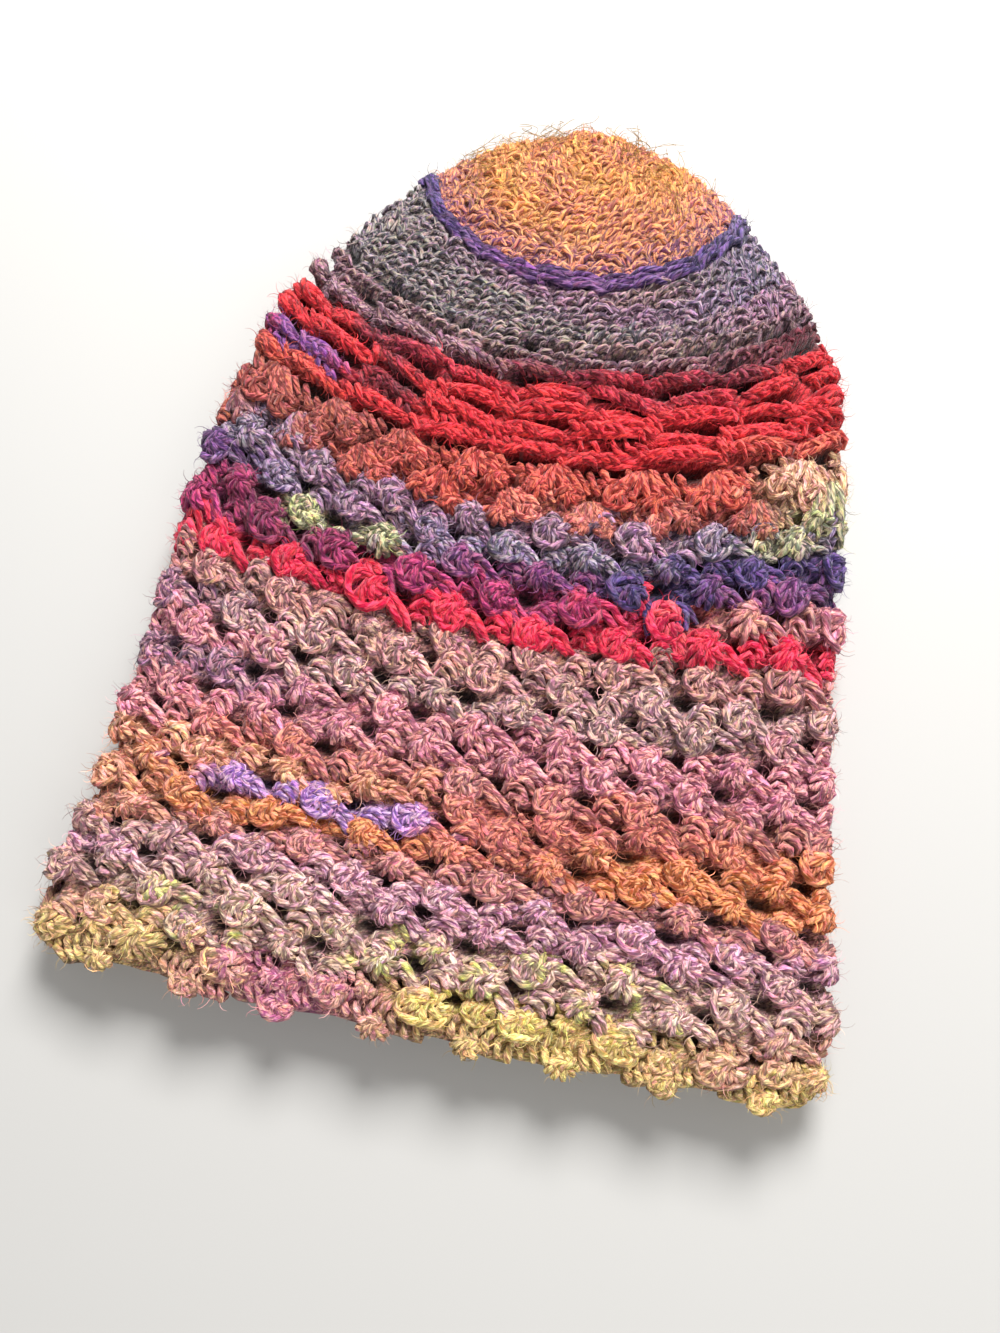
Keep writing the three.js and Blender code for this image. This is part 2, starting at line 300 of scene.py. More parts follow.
# Shade of the yarn along each round, from the hem to the crown stripe: the distance from the seam line in
# mm, to the left as less than zero, and the shade there. A fleck is a short spot of lime in greige.
ROUND_SHADES: tuple[str, ...] = (
    "-110 ochre, -75 peach, -55 pink_hem, -35 pink_hem, -15 peach, 15 ochre, 45 yellow, 80 ochre, "
    "125 yellow",
    "-120 ochre, -85 ochre, -60 pink_hem, -35 pink_hem, -15 peach, 2 yellow, 60 yellow, 100 peach, "
    "125 ochre",
    "-120 peach, -96 ochre, -86 fleck, -64 fleck, -24 fleck, -12 fleck, 12 fleck, 22 fleck, 52 fleck, "
    "66 fleck, 85 greige, 125 peach",
    "-125 mauve_tan, -92 fleck, -80 fleck, -46 fleck, -14 fleck, -5 fleck, 27 fleck, 38 fleck, 60 fleck, "
    "80 greige, 125 mauve_tan",
    "-120 mauve, -60 greige, -20 mauve, 40 mauve, 80 mauve, 125 mauve_tan",
    "-120 mauve_tan, -40 mauve, 30 mauve, 125 mauve",
    "-120 peach_orange, -60 dusty_rose, 45 dusty_rose, 125 dusty_rose",
    "-120 peach_orange, -80 orange, -30 orange, 15 coral, 50 orange, 125 orange",
    "-122 peach_orange, -95 orange, -84 lilac, -14 lilac, -4 coral, 35 coral, 55 orange, 125 orange",
    "-120 peach_orange, -30 peach_orange, 5 coral, 60 coral, 125 orange",
    "-120 rose, -80 coral, 0 dusty_rose, 60 coral, 125 dusty_rose",
    "-115 rose, 0 rose, 125 rose",
    "-115 dusk_rose, -80 dusk_rose, -45 rose, 125 rose",
    "-115 rose, -85 rose, -60 taupe, 50 taupe, 80 taupe, 125 rose",
    "-115 dusk_rose, -70 taupe, -10 tan, 60 taupe, 100 taupe, 125 tan",
    "-118 dusty_rose, -95 tan, 0 tan, 60 tan, 120 dusty_rose",
    "-115 crimson, -80 crimson, 0 crimson, 120 crimson",
    "-112 magenta, -75 plum, -45 magenta, 20 magenta, 60 crimson, 78 dusty_rose, 100 dusty_rose, 118 rose",
    "-112 magenta, -90 plum, -78 moss, -66 moss, -58 slate, -50 moss, -38 moss, -28 slate, -14 mulberry, "
    "24 mulberry, 40 indigo, 66 indigo, 84 mulberry, 120 violet",
    "-112 violet, -90 slate, -50 grey_mauve, -24 slate, 2 grey_lilac, 40 grey_lilac, 66 indigo, "
    "115 indigo",
    "-110 grey_lilac, -60 grey_mauve, 10 grey_mauve, 50 grey_mauve, 80 grey_lilac, 98 moss, 112 slate",
    "-112 salmon_brown, -97 grey_lilac, -80 salmon_brown, -20 salmon, 20 coral, 60 salmon_brown, "
    "85 salmon_brown, 108 moss",
    "-110 salmon_brown, -60 salmon_brown, -20 salmon, 50 salmon, 80 salmon, 92 cream, 110 cream",
    "-108 salmon, -60 red, 60 red, 90 salmon, 110 salmon",
    "-108 magenta, -102 purple, -80 purple, -72 deep_red, -50 wine, -40 red, 110 red",
    "-105 red, -60 red, -52 wine, -42 red, 30 red, 110 red",
    "-100 red, -80 red, -64 wine, -34 deep_red, 0 red, 30 deep_red, 62 deep_red, 90 red",
    "-95 wine_grey, -60 wine_grey, -28 wine_grey, 0 wine, 40 deep_red, 75 wine, 100 red",
    "-90 wine_grey, -40 grey_brown, 40 wine_grey, 95 wine",
    "-85 grey, -40 ash, 20 grey_brown, 60 grey_brown, 90 wine_grey",
    "-80 ash, -30 grey, 30 grey, 80 grey_mauve",
    "-75 grey, -20 ash, 30 grey_mauve, 75 grey_lilac",
    "-70 ash, 0 grey_mauve, 40 grey_brown, 70 grey_lilac",
    "-60 indigo, -20 violet, 20 violet, 60 indigo",
)


def charted(row: str) -> list[tuple[float, Shade]]:
    """Read one round of the chart.

    Args:
        row: its distances and shades.

    Returns:
        Pairs of distance in mm and shade.
    """
    places = []
    for entry in row.split(", "):
        distance, name = entry.split(" ")
        spread = FLECK if name == "fleck" else ((0.0, Shade[name.upper()]),)
        places += [(float(distance) + along, shade) for along, shade in spread]
    return places


def linear_colour(code: str) -> Array:
    """Red, green and blue of #rrggbb in linear light, from 0 to 1."""
    values = np.array([int(code[i:i + 2], 16) for i in (1, 3, 5)]) / 255
    return np.where(values <= 0.04045, values / 12.92, ((values + 0.055) / 1.055) ** 2.4)


@dataclass
class YarnShades:
    """Looks up the two colours of the yarn anywhere on the hat.

    The yarn changes colour along its length. It runs from the crown down, to the right across each round of
    the upper face and back below it, to the left end of the next round.

    Attributes:
        surface: the surface, for the lengths of the rounds.
        inner: the round where the disc begins to turn gold, and how many rounds that takes.
        mauve: how far the gold turns mauve in places.
    """

    surface: HatSurface
    inner: tuple[float, float] = (34.6, 1.6)
    mauve: float = 0.55

    def __post_init__(self) -> None:
        """Turn every named shade into linear colours and place it along the yarn."""
        self.colours = {
            shade: np.concatenate([linear_colour(code) for code in shade.value]) for shade in Shade
        }
        places, values = [], []
        for index in reversed(range(len(ROUND_SHADES))):
            length = self.surface.length(index + 0.5)
            for distance, shade in charted(ROUND_SHADES[index]):
                places.append(distance / length - index)
                values.append(self.colours[shade])
        self.places = np.array(places)
        self.values = np.array(values)

    def at(self, dye: Dye, rounds: Array, turns: Array) -> Array:
        """Both colours at any places.

        Args:
            dye: the round whose shades they take, one shade, or None for the crown disc's.
            rounds: their rounds.
            turns: their turns.

        Returns:
            Six values for each place: the main colour and the light one.
        """
        if dye is None:
            return self._on_disc(rounds, turns)
        if isinstance(dye, Shade):
            return np.broadcast_to(self.colours[dye], (*rounds.shape, 6))
        along = (turns + 0.5) % 1.0 - 0.5 - dye
        return np.stack([np.interp(along, self.places, self.values[:, k]) for k in range(6)], axis=-1)

    def _on_disc(self, rounds: Array, turns: Array) -> Array:
        """Both colours on the crown disc, from heathered at its edge to gold inside.

        Args:
            rounds: rounds of the places.
            turns: turns of the places.

        Returns:
            Six values for each place.
        """
        heather, gold, mauve = (self.colours[s] for s in (Shade.HEATHER, Shade.GOLD, Shade.GOLD_MAUVE))
        inwards = np.clip((rounds - self.inner[0]) / self.inner[1], 0, 1)[..., None]
        drift = (0.5 + 0.5 * np.sin(2 * math.pi * (turns * 2 + 0.2) + rounds * 1.7))[..., None]
        golden = gold * (1 - self.mauve * drift) + mauve * self.mauve * drift
        return heather * (1 - inwards) + golden * inwards


def smooth_route(route: Array, step: float) -> Array:
    """Weights that turn a few points of a route into many on a smooth curve through them.

    Args:
        route: points of the route, in mm.
        step: distance between two points of the result, in mm.

    Returns:
        A matrix of result points by route points.
    """
    steps = np.linalg.norm(np.diff(route, axis=0), axis=1)
    run = np.concatenate(([0.0], np.cumsum(steps)))
    samples = np.linspace(0, run[-1], max(int(round(run[-1] / step)) + 1, 3))
    return np.stack([curve_weights(run, at) for at in samples])


@dataclass(frozen=True)
class Strand:
    """One length of yarn in a stitch group.

    Attributes:
        route: points across, up and out, in mm, from the middle of the group's lower edge.
        thick: thickness of the yarn, in mm.
        share: share of the groups that have the strand.
    """

    route: tuple[Spot, ...]
    thick: float
    share: float = 1.0


@dataclass(frozen=True)
class Stitch:
    """A group of strands that is repeated along a round.

    Attributes:
        wide: the group's width when it isn't stretched, in mm.
        tall: the round's height when it isn't stretched, in mm.
        strands: the strands of the group.
        stray: how far a point may stray from its place, in mm.
        swing: how far a group may turn, in radians.
        growth: how much a group may be larger or smaller.
        hole: the group's gap, if it has one: across, up, half width and half height, in mm.
        mounds: domes of the wall under the group: across, up, half width, half height and rise, in mm.
    """

    wide: float
    tall: float
    strands: tuple[Strand, ...]
    stray: float = 0.5
    swing: float = 0.18
    growth: float = 0.1
    hole: tuple[float, float, float, float] | None = None
    mounds: tuple[tuple[float, float, float, float, float], ...] = ()


RIM_ARC = (128, 170, 310, 348)       # degrees along the curled rim of a bobble
RIM_LIFTS = (0.5, 0.85, 0.85, 0.4)   # the rim's height there, in parts of the bobble's rise
RIM_SHARE = 0.55                     # share of the bobbles that have the rim
RIM_THICK = 1.04                     # its thickness beside the grains
GRAIN_ROOT = (48, 0.34, 1.05)        # where the grains come from: degrees, part of the way out, lift
GRAIN_START = (0.2, 35)              # how far from there they start, and degrees that they start ahead
GRAIN_END = (1.02, 0.3)              # how far out they end, and how high
GRAIN_SWELL = 1.6                    # how far they bow out between
GRAIN_ARC = (70, 310)                # degrees where the grains of a bobble start, and over which they fan
GRAIN_PARTS = (0.0, 0.45, 0.8, 1.0)  # points of a grain, in parts of its way out
POST = ((44, 1.0, 0.3), (52, 0.45, 1.0), (190, 0.1, 1.2), (240, 0.4, 1.15))  # the strand over them
ROLL_SECTION = ((1.0, 0.3), (0.4, 1.0), (-0.4, 1.0), (-1.0, 0.2))  # height and lift over a ridge


def lump(
    half_wide: float, half_tall: float, up: float, rise: float, grains: int, thick: float, at: float = 0.0
) -> tuple[Strand, ...]:
    """A rounded bobble: grains that fan out from its upper right, and on some of them a curled rim.

    Args:
        half_wide: half its width, in mm.
        half_tall: half its height, in mm.
        up: its middle above the round's lower edge, in mm.
        rise: how far it stands out, in mm.
        grains: how many grains fan out in it.
        thick: thickness of the yarn, in mm.
        at: its middle along the round, in mm.

    Returns:
        Its strands.
    """
    edge = 1 - thick / 2 / max(half_wide, half_tall)

    def spot(degrees: float, part: float, lift: float) -> Spot:
        """A point at an angle, a part of the way to the rim, and raised by a part of the rise."""
        angle, reach = math.radians(degrees), edge * part
        return at + half_wide * reach * math.cos(angle), up + half_tall * reach * math.sin(angle), rise * lift

    turns = np.linspace(RIM_ARC[0], RIM_ARC[-1], 7)
    lifts = np.interp(turns, RIM_ARC, RIM_LIFTS)
    around = tuple(spot(turn, 0.98, lift) for turn, lift in zip(turns, lifts))
    strands = [Strand(around, thick * RIM_THICK, RIM_SHARE)]
    root = np.array(spot(*GRAIN_ROOT))
    near, ahead = GRAIN_START
    for number in range(grains):
        turn = GRAIN_ARC[0] + GRAIN_ARC[1] * (number + 0.5) / grains
        angle = math.radians(turn - ahead)
        start = root + np.array((half_wide, half_tall, 0.0)) * near * (math.cos(angle), math.sin(angle), 0.0)
        end = np.array(spot(turn, *GRAIN_END))
        swell = np.array((0.0, 0.0, rise * GRAIN_SWELL))
        route = (start + (end - start) * part + swell * part * (1 - part) for part in GRAIN_PARTS)
        strands.append(Strand(tuple(tuple(point.tolist()) for point in route), thick))
    strands.append(Strand(tuple(spot(*at) for at in POST), thick))
    return tuple(strands)


def roll(
    start: float, end: float, up: float, half: float, rise: float, slant: float, pace: float, thick: float,
    share: float = 1.0,
) -> tuple[Strand, ...]:
    """A ridge of short slanted grains, side by side.

    Args:
        start: its left end, in mm.
        end: its right end, in mm.
        up: its middle above the round's lower edge, in mm.
        half: half its height, in mm.
        rise: how far it stands out in the middle, in mm.
        slant: lean of the grains: how far they go right for each mm down.
        pace: distance from grain to grain, in mm.
        thick: thickness of the yarn, in mm.
        share: share of the groups that have each grain.

    Returns:
        Its strands.
    """
    count = int(round((end - start) / pace))
    strands = []
    for number in range(count):
        part = (number + 0.5) / count
        x = start + (end - start) * part
        swell = 1 - 0.5 * (2 * part - 1) ** 2
        tall = half * (0.6 + 0.4 * swell)
        route = tuple(
            (x - slant * tall * at, up + tall * at, rise * swell * lift) for at, lift in ROLL_SECTION
        )
        strands.append(Strand(route, thick, share))
    return tuple(strands)


LEGS = (
    Strand(((4.8, 5, 0.8), (7.8, 3.1, 1.8), (10.5, 0.8, 1.9), (12.7, -1.7, 1), (14.5, -3.8, -0.6)), 3.1),
    Strand(((5.2, 2, 0.8), (7.8, 0, 1.6), (10.2, -2, 1.3), (12, -3.8, 0.2)), 3.1),
    Strand(((13.2, 4.2, 0.4), (15, 6.2, 1.7), (17.4, 6.6, 2.4), (20.4, 5, 2.2), (21.8, 1.8, 1)), 3.1),
    Strand(((12.8, 2.2, 0.6), (14.8, 4, 1.9), (17.2, 4, 2.3), (19.2, 2, 1.7), (19.8, -0.6, 0.4)), 3.1),
    Strand(((13.4, 0.2, 0.4), (15.2, 1.4, 1.5), (16.9, 0.4, 1.4), (17.6, -1.6, 0.3)), 3),
    Strand(((14, 7.2, -0.2), (17, 7.9, 0.4), (20.6, 7.4, 0.9), (24, 6, 0.2)), 3),
    Strand(((-5.8, 7.2, -0.2), (-2.4, 8.6, 0.2), (0.8, 8.6, 0.4), (3.8, 7.6, 0.2)), 3),
    Strand(((-12, 4, 0), (-9.4, 2, 0.9), (-7, 1.6, 0.6)), 3),
)
LEG_MOUNDS = ((10, -0.4, 4.4, 3, 0.8), (17.8, 3.4, 4.2, 3.6, 1))
BOBBLE = Stitch(
    wide=29.5, tall=8.2, strands=lump(7.2, 6.1, 3.4, 3.2, 9, 3) + LEGS, stray=0.55, swing=0.2, growth=0.06,
    hole=(-5.6, -3.2, 5, 2.7), mounds=((0.4, 3.6, 5.4, 4.5, 2.7),) + LEG_MOUNDS,
)
SHELL = Stitch(
    wide=29.5, tall=8.2, strands=lump(7.6, 6.6, 3.2, 4.4, 9, 3.2) + LEGS, stray=0.65, swing=0.22, growth=0.08,
    hole=(-5.8, -3.5, 5.2, 2.8), mounds=((0.2, 3.3, 6, 5.2, 3.8),) + LEG_MOUNDS,
)
FAN_SECTION = ((0.05, 10, 0.8), (0.10, 6.8, 2), (0.16, 3.4, 2.8), (0.21, 0.8, 2.8))
FAN_RAYS = tuple(
    Strand(tuple((lean * angle, up, out) for lean, up, out in FAN_SECTION), 3.2)
    for angle in (-48, -28, -9, 10, 29, 48)
)
FAN = Stitch(
    wide=29.5, tall=9.6,
    strands=(
        *FAN_RAYS,
        *lump(6.4, 5.1, 0.4, 3.8, 7, 2.8, at=-6.4),
        *lump(6, 4.8, -0.4, 3.6, 7, 2.8, at=5.4),
        *roll(-15, 14.5, 7.4, 2.4, 0.9, 0.7, 4.2, 3.1, 0.6),
        *roll(9, 21, 4, 2.4, 0.9, 0.6, 3.8, 3, 0.7),
        Strand(
            ((-14.7, 5, -0.6), (-8, 5.6, -0.4), (0, 6.4, 0), (8, 5.4, -0.4), (14.7, 5, -0.6)), 3.2
        ),
    ),
    stray=0.7, swing=0.14, growth=0.08,
    hole=(-14.6, -1, 4.6, 3.4),
    mounds=(
        (-6, 0, 5, 4.2, 3), (5.2, -0.6, 4.8, 4, 2.8), (0, 5.6, 5.4, 5, 1.8),
        (14.75, 6, 6, 3.4, 0.6),
    ),
)
PINCH = (
    Strand(((-17.4, 7, 0.2), (-15.2, 5.6, 1.2), (-13.2, 3.4, 1.4), (-11.8, 1, 0.4)), 2.6, 0.85),
    Strand(((-13.8, 7.4, 0), (-12.6, 5.4, 1.4), (-10.4, 3.6, 1.8)), 2.6, 0.7),
    Strand(((-15.4, 2.2, 0), (-14.2, 0.4, 0.7), (-14.4, -1.6, 0)), 2.8, 0.6),
)
LEAF = (
    Strand(((-15.6, 4.6, -0.6), (-9, 6.1, 1.2), (-1, 6.9, 1.9), (7, 6.1, 1.5), (15.2, 4.8, -0.6)), 2.8),
    Strand(((-15.4, 3.6, -0.4), (-8, 4.7, 1.8), (0, 5.3, 2.5), (8, 4.4, 1.9), (15.2, 3.8, -0.4)), 2.9),
    Strand(((-15, 2.8, -0.6), (-7, 3.4, 1.5), (0, 3.6, 2.1), (7, 3.3, 1.6), (15, 2.8, -0.6)), 2.7),
)
RIDGE = Stitch(
    wide=29.5, tall=7.7,
    strands=LEAF + roll(-11, 12, 4.9, 2.2, 3.4, 1.2, 3, 2.5, 0.75) + PINCH,
    stray=0.9, swing=0.09, growth=0.1,
    hole=(1.4, 0.4, 11, 2.9),
    mounds=((0.4, 4.9, 12.5, 2.4, 1.5),),
)
CLOSE_RIDGE = replace(
    RIDGE, strands=RIDGE.strands + roll(-12, 12, 0.4, 2.2, 1.4, 0.9, 4, 2.6, 0.8), hole=None
)
CHAIN = Stitch(
    wide=4.7, tall=7,
    strands=(
        Strand(((-3.2, 3.6, 0.3), (-1, 5.1, 1), (1.2, 5.4, 1.1), (3.2, 4, 0.5)), 2.3),
        Strand(((-2.4, 1.2, 0.3), (0.2, 2.7, 0.9), (2.9, 2, 0.4)), 2.3),
        Strand(((-2, -0.6, 0), (0.5, 0.4, 0.4), (2.7, -0.2, 0)), 2.1, 0.6),
    ),
    stray=0.5, swing=0.34, growth=0.14,
    mounds=((0, 3.6, 12, 3.2, 1.1),),
)
SLOTTED = Stitch(
    wide=29.4, tall=7,
    strands=tuple(
        replace(strand, route=tuple((x + at, up, out) for x, up, out in strand.route))
        for at in (-12.25, -7.35, -2.45, 2.45, 7.35, 12.25)
        for strand in (CHAIN.strands if abs(at) > 8 else CHAIN.strands[:1])
    ),
    stray=0.5, swing=0.05, growth=0.05,
    hole=(0, 0.9, 8, 1.8),
    mounds=((0, 4.4, 14, 2.4, 1.3),),
)
BRAID = Stitch(
    wide=12, tall=7,
    strands=tuple(
        Strand(
            (
                (-7.5, up - 0.7, 0.4), (-3.5, up + 0.7, 1.7), (1, up + 0.4, 2), (5, up - 0.7, 1.5),
                (7.8, up, 0.4),
            ),
            2.9,
        )
        for up in (0.7, 3, 5.3)
    ),
    stray=0.5, swing=0.1, growth=0.08,
    mounds=((0, 3.2, 30, 3, 1),),
)
GRAIN = Stitch(
    wide=4.8, tall=4.1,
    strands=(
        Strand(((-3.2, 0.6, 0.2), (-1.2, 2.2, 0.9), (1.2, 2.4, 1), (3.3, 1.2, 0.3)), 2.5),
        Strand(((-2, -0.9, 0.1), (0.4, 0.4, 0.7), (3, 0, 0.1)), 2.4),
    ),
    stray=0.5, swing=0.35, growth=0.16,
    mounds=((0, 2, 30, 12, 1.3),),
)
EDGING = Stitch(
    wide=29.5, tall=8,
    strands=(
        *lump(9, 6.3, 1.4, 3.6, 12, 3),
        *lump(5.6, 4.8, 1.8, 2.4, 7, 2.9, at=14.75),
        *roll(-15, 14.5, 6.8, 2.2, 0.5, 0.6, 3.7, 3),
    ),
    stray=0.7, swing=0.16, growth=0.1,
    hole=(-7.2, 6.2, 3.4, 2.2),
    mounds=((0, 1.4, 7.6, 5.4, 3), (14.75, 1.8, 5.6, 4.4, 1.8)),
)
PICOT = Stitch(
    wide=29.5, tall=8,
    strands=(
        *lump(6.2, 4.8, -0.4, 2, 8, 2.9),
        *roll(-14.7, 14.7, 2.4, 2.7, 1.2, 0.4, 3.5, 3),
        *roll(-14.7, 14.7, 6.2, 2.4, 0.9, -0.5, 3.7, 2.9),
        *(
            Strand(
                (
                    (-14.7, up + 0.4, out), (-7.5, up, out + 0.2), (0, up + 0.4, out),
                    (7.5, up, out + 0.2), (14.7, up + 0.4, out),
                ),
                thick,
            )
            for up, out, thick in ((0, -2.8, 3.8), (0.4, -4.6, 3))
        ),
    ),
)

STEP = 2.2                       # distance between two points of a strand, in mm
GROUP_SPREAD = (1.2, 0.8, 0.5)   # how far a group strays across, up and out, beside its points
GROUP_MIDDLE = 2                 # height about which a group turns, in mm
FULL_TURN = 6.28


class YarnBuffer:
    """Collects the strands of one band as lines with their thickness and colours.

    Attributes:
        drift: how far the colour of a strand may come from along the round, in turns.
        end: thickness of a strand at its ends, beside its middle.
        swell: how far its thickness changes along it, and how fast that goes from point to point.
        tone: how much lighter or darker a strand may be.
        recess_shade: painted shade, darker the nearer a strand lies to the bare wall: lightness at the
        wall, the gain for each mm out of it, and the least and the most.
        outer: places out of the wall, in mm, that count as 0 and 1 for the loose fibres.
        skein: length over which strands start anywhere, in mm, so that no two have the same hairs.
    """

    drift = 0.009
    end = 0.72
    swell = (0.13, 0.9)
    tone = 0.13
    recess_shade = (0.8, 0.08, 0.55, 1.0)
    outer = (-1, 2)
    skein = 500

    def __init__(self, surface: HatSurface, shades: YarnShades, seed: int) -> None:
        """Start empty.

        Args:
            surface: the wall that the strands lie on.
            shades: the colours of the yarn.
            seed: start of the random numbers, which stays the same on every run.
        """
        self.surface = surface
        self.shades = shades
        self.random = np.random.default_rng(seed)
        self.parts: list[dict[str, Array]] = []
        self.count = 0

    def lay(
        self, stitch: Stitch, at_round: float, count: int, phase: float, dye: Dye, tall: float = 1.0
    ) -> None:
        """Repeat a stitch along one round.

        Args:
            stitch: the stitch group.
            at_round: the round of its lower edge.
            count: groups in the round.
            phase: turn of the first group, in groups.
            dye: where its colours come from.
            tall: rounds that the stitch's height takes.
        """
        swing = self.random.normal(0, stitch.swing, count)
        growth = 1 + self.random.normal(0, stitch.growth, count)
        offset = self.random.normal(0, stitch.stray, (count, 3)) * GROUP_SPREAD
        cos, sin = np.cos(swing)[:, None], np.sin(swing)[:, None]
        for strand in stitch.strands:
            route = np.array(strand.route, float)
            weights = smooth_route(route, STEP)
            bent = route[None] + self.random.normal(0, stitch.stray * 0.6, (count, *route.shape))
            above = bent[..., 1] - GROUP_MIDDLE
            x = bent[..., 0] * cos - above * sin
            y = bent[..., 0] * sin + above * cos + GROUP_MIDDLE
            local = np.stack((x, y, bent[..., 2]), axis=-1) * growth[:, None, None] + offset[:, None, :]
            dense = np.einsum("nk,gkc->gnc", weights, local)
            turn = (np.arange(count)[:, None] + phase + dense[..., 0] / stitch.wide) / count
            rounds = at_round + dense[..., 1] / stitch.tall * tall
            kept = self.random.uniform(size=count) < strand.share
            self.add(rounds[kept], turn[kept], dense[kept][..., 2], strand.thick, dye)

    def add(
        self, rounds: Array, turns: Array, out: Array, thick: float, dye: Dye, step: float = STEP
    ) -> None:
        """Keep strands that are already laid out.

        Args:
            rounds: rounds of every point, strands by points.
            turns: turns of every point.
            out: how far every point stands out of the wall, in mm.
            thick: thickness of the yarn, in mm.
            dye: where their colours come from.
            step: distance between two points, in mm.
        """
        strands, points = rounds.shape
        part = np.linspace(0, 1, points)
        taper = np.ones(points)
        taper[[0, -1]] = self.end
        much, pace = self.swell
        wave = np.sin(part * points * pace + self.random.uniform(0, FULL_TURN, (strands, 1)))
        radius = thick / 2 * taper[None] * (1 + much * wave)
        place = self.surface.place(rounds, turns, out, radius)
        colours = self.shades.at(dye, rounds, turns + self.random.normal(0, self.drift, (strands, 1)))
        tone = np.exp(self.random.normal(0, self.tone, (strands, 1, 1)))
        # painted shade: each strand is darkened the nearer it lies to the bare wall
        bare, gain, least, most = self.recess_shade
        recess_shade = np.clip(bare + gain * out, least, most)[..., None]
        start = self.random.uniform(0, self.skein, (strands, 1))
        low, high = self.outer
        self.parts.append(
            {
                "place": place.reshape(-1, 3) * MM,
                "radius": radius.ravel() * MM,
                "colours": (colours * tone * recess_shade).reshape(-1, 6),
                "along": (start + part[None] * points * step).ravel(),
                "outer": np.clip((out - low) / (high - low), 0, 1).ravel(),
                "strand": np.repeat(np.arange(strands) + self.count, points),
            }
        )
        self.count += strands

    def lines(self, name: str) -> Piece:
        """Make one object of all strands, as lines.

        Args:
            name: the object's name.

        Returns:
            An object whose mesh holds a line for each strand.
        """
        every = {key: np.concatenate([part[key] for part in self.parts]) for key in self.parts[0]}
        first = np.flatnonzero(every["strand"][:-1] == every["strand"][1:])
        pairs = np.stack((first, first + 1), axis=1)
        mesh = bpy.data.meshes.new(name)
        mesh.vertices.add(len(every["place"]))
        mesh.vertices.foreach_set("co", every["place"].astype(np.float32).ravel())
        mesh.edges.add(len(pairs))
        mesh.edges.foreach_set("vertices", pairs.astype(np.int32).ravel())
        for key in ("radius", "along", "outer"):
            store(mesh, key, every[key])
        store_colours(mesh, every["colours"])
        mesh.update()
        return linked(name, mesh)


def linked(name: str, data: bpy.types.ID) -> Piece:
    """Put a mesh, light or camera into the scene.

    Args:
        name: the object's name.
        data: what it shows.

    Returns:
        The new object.
    """
    piece = bpy.data.objects.new(name, data)
    bpy.context.scene.collection.objects.link(piece)
    return piece


def store(mesh: bpy.types.Mesh, key: str, values: Array) -> None:
    """Store an attribute on a mesh's points.

    Args:
        mesh: the mesh.
        key: the attribute's name.
        values: a number, a vector or a colour of four values for each point.
    """
    kind, field = {1: ("FLOAT", "value"), 3: ("FLOAT_VECTOR", "vector"), 4: ("FLOAT_COLOR", "color")}[
        values.size // len(values)
    ]
    attribute = mesh.attributes.new(key, kind, "POINT")
    attribute.data.foreach_set(field, values.astype(np.float32).ravel())


def store_colours(mesh: bpy.types.Mesh, colours: Array) -> None:
    """Store both colours of the yarn on a mesh's points.

    Args:
        mesh: the mesh.
        colours: six values for each point.
    """
    for key, columns in (("shade", slice(0, 3)), ("fleck", slice(3, 6))):
        rgba = np.ones((len(colours), 4), np.float32)
        rgba[:, :3] = np.clip(colours[:, columns], 0, 1)
        store(mesh, key, rgba)


class NodeTree:
    """A node tree that is built by short calls."""

    def __init__(self, tree: bpy.types.NodeTree) -> None:
        """Work on an empty tree."""
        self.tree = tree

    def add(self, kind: str, inputs: dict | None = None, **settings: object) -> bpy.types.Node:
        """Add a node, set it up and feed its inputs.

        Args:
            kind: the node's type.
            inputs: a value or another node's output socket for each input, by name or number.
            **settings: the node's own settings.

        Returns:
            The new node.
        """
        node = self.tree.nodes.new(kind)
        for key, value in settings.items():
            setattr(node, key, value)
        for key, value in (inputs or {}).items():
            socket = node.inputs[key]
            if isinstance(value, Socket):
                self.tree.links.new(value, socket)
            else:
                socket.default_value = value
        return node

    def math(self, operation: str, first: Socket | float, second: Socket | float = 0.0) -> Socket:
        """Result of a Math node on two values."""
        return self.add("ShaderNodeMath", {0: first, 1: second}, operation=operation).outputs[0]

    def vector(self, operation: str, inputs: dict) -> Socket:
        """Result of a Vector Math node."""
        return self.add("ShaderNodeVectorMath", inputs, operation=operation).outputs[0]

    def span(
        self, value: Socket, low: float = 0.0, high: float = 1.0, to_low: float = 0.0, to_high: float = 1.0,
        kind: str = "LINEAR",
    ) -> Socket:
        """Carry a value from one range over to another.

        Args:
            value: the value.
            low: start of its range.
            high: end of its range.
            to_low: start of the new range.
            to_high: end of the new range.
            kind: how it runs in between.

        Returns:
            The new value.
        """
        inputs = {"Value": value, "From Min": low, "From Max": high, "To Min": to_low, "To Max": to_high}
        return self.add("ShaderNodeMapRange", inputs, interpolation_type=kind).outputs["Result"]

    def read(self, name: str) -> Socket:
        """A number that geometry nodes read from the lines by its name."""
        node = self.add("GeometryNodeInputNamedAttribute", {"Name": name}, data_type="FLOAT")
        return node.outputs["Attribute"]

    def above(self, value: Socket, limit: Socket | float) -> Socket:
        """Whether a number is above a limit."""
        return self.add("FunctionNodeCompare", {0: value, 1: limit}, data_type="FLOAT").outputs[0]


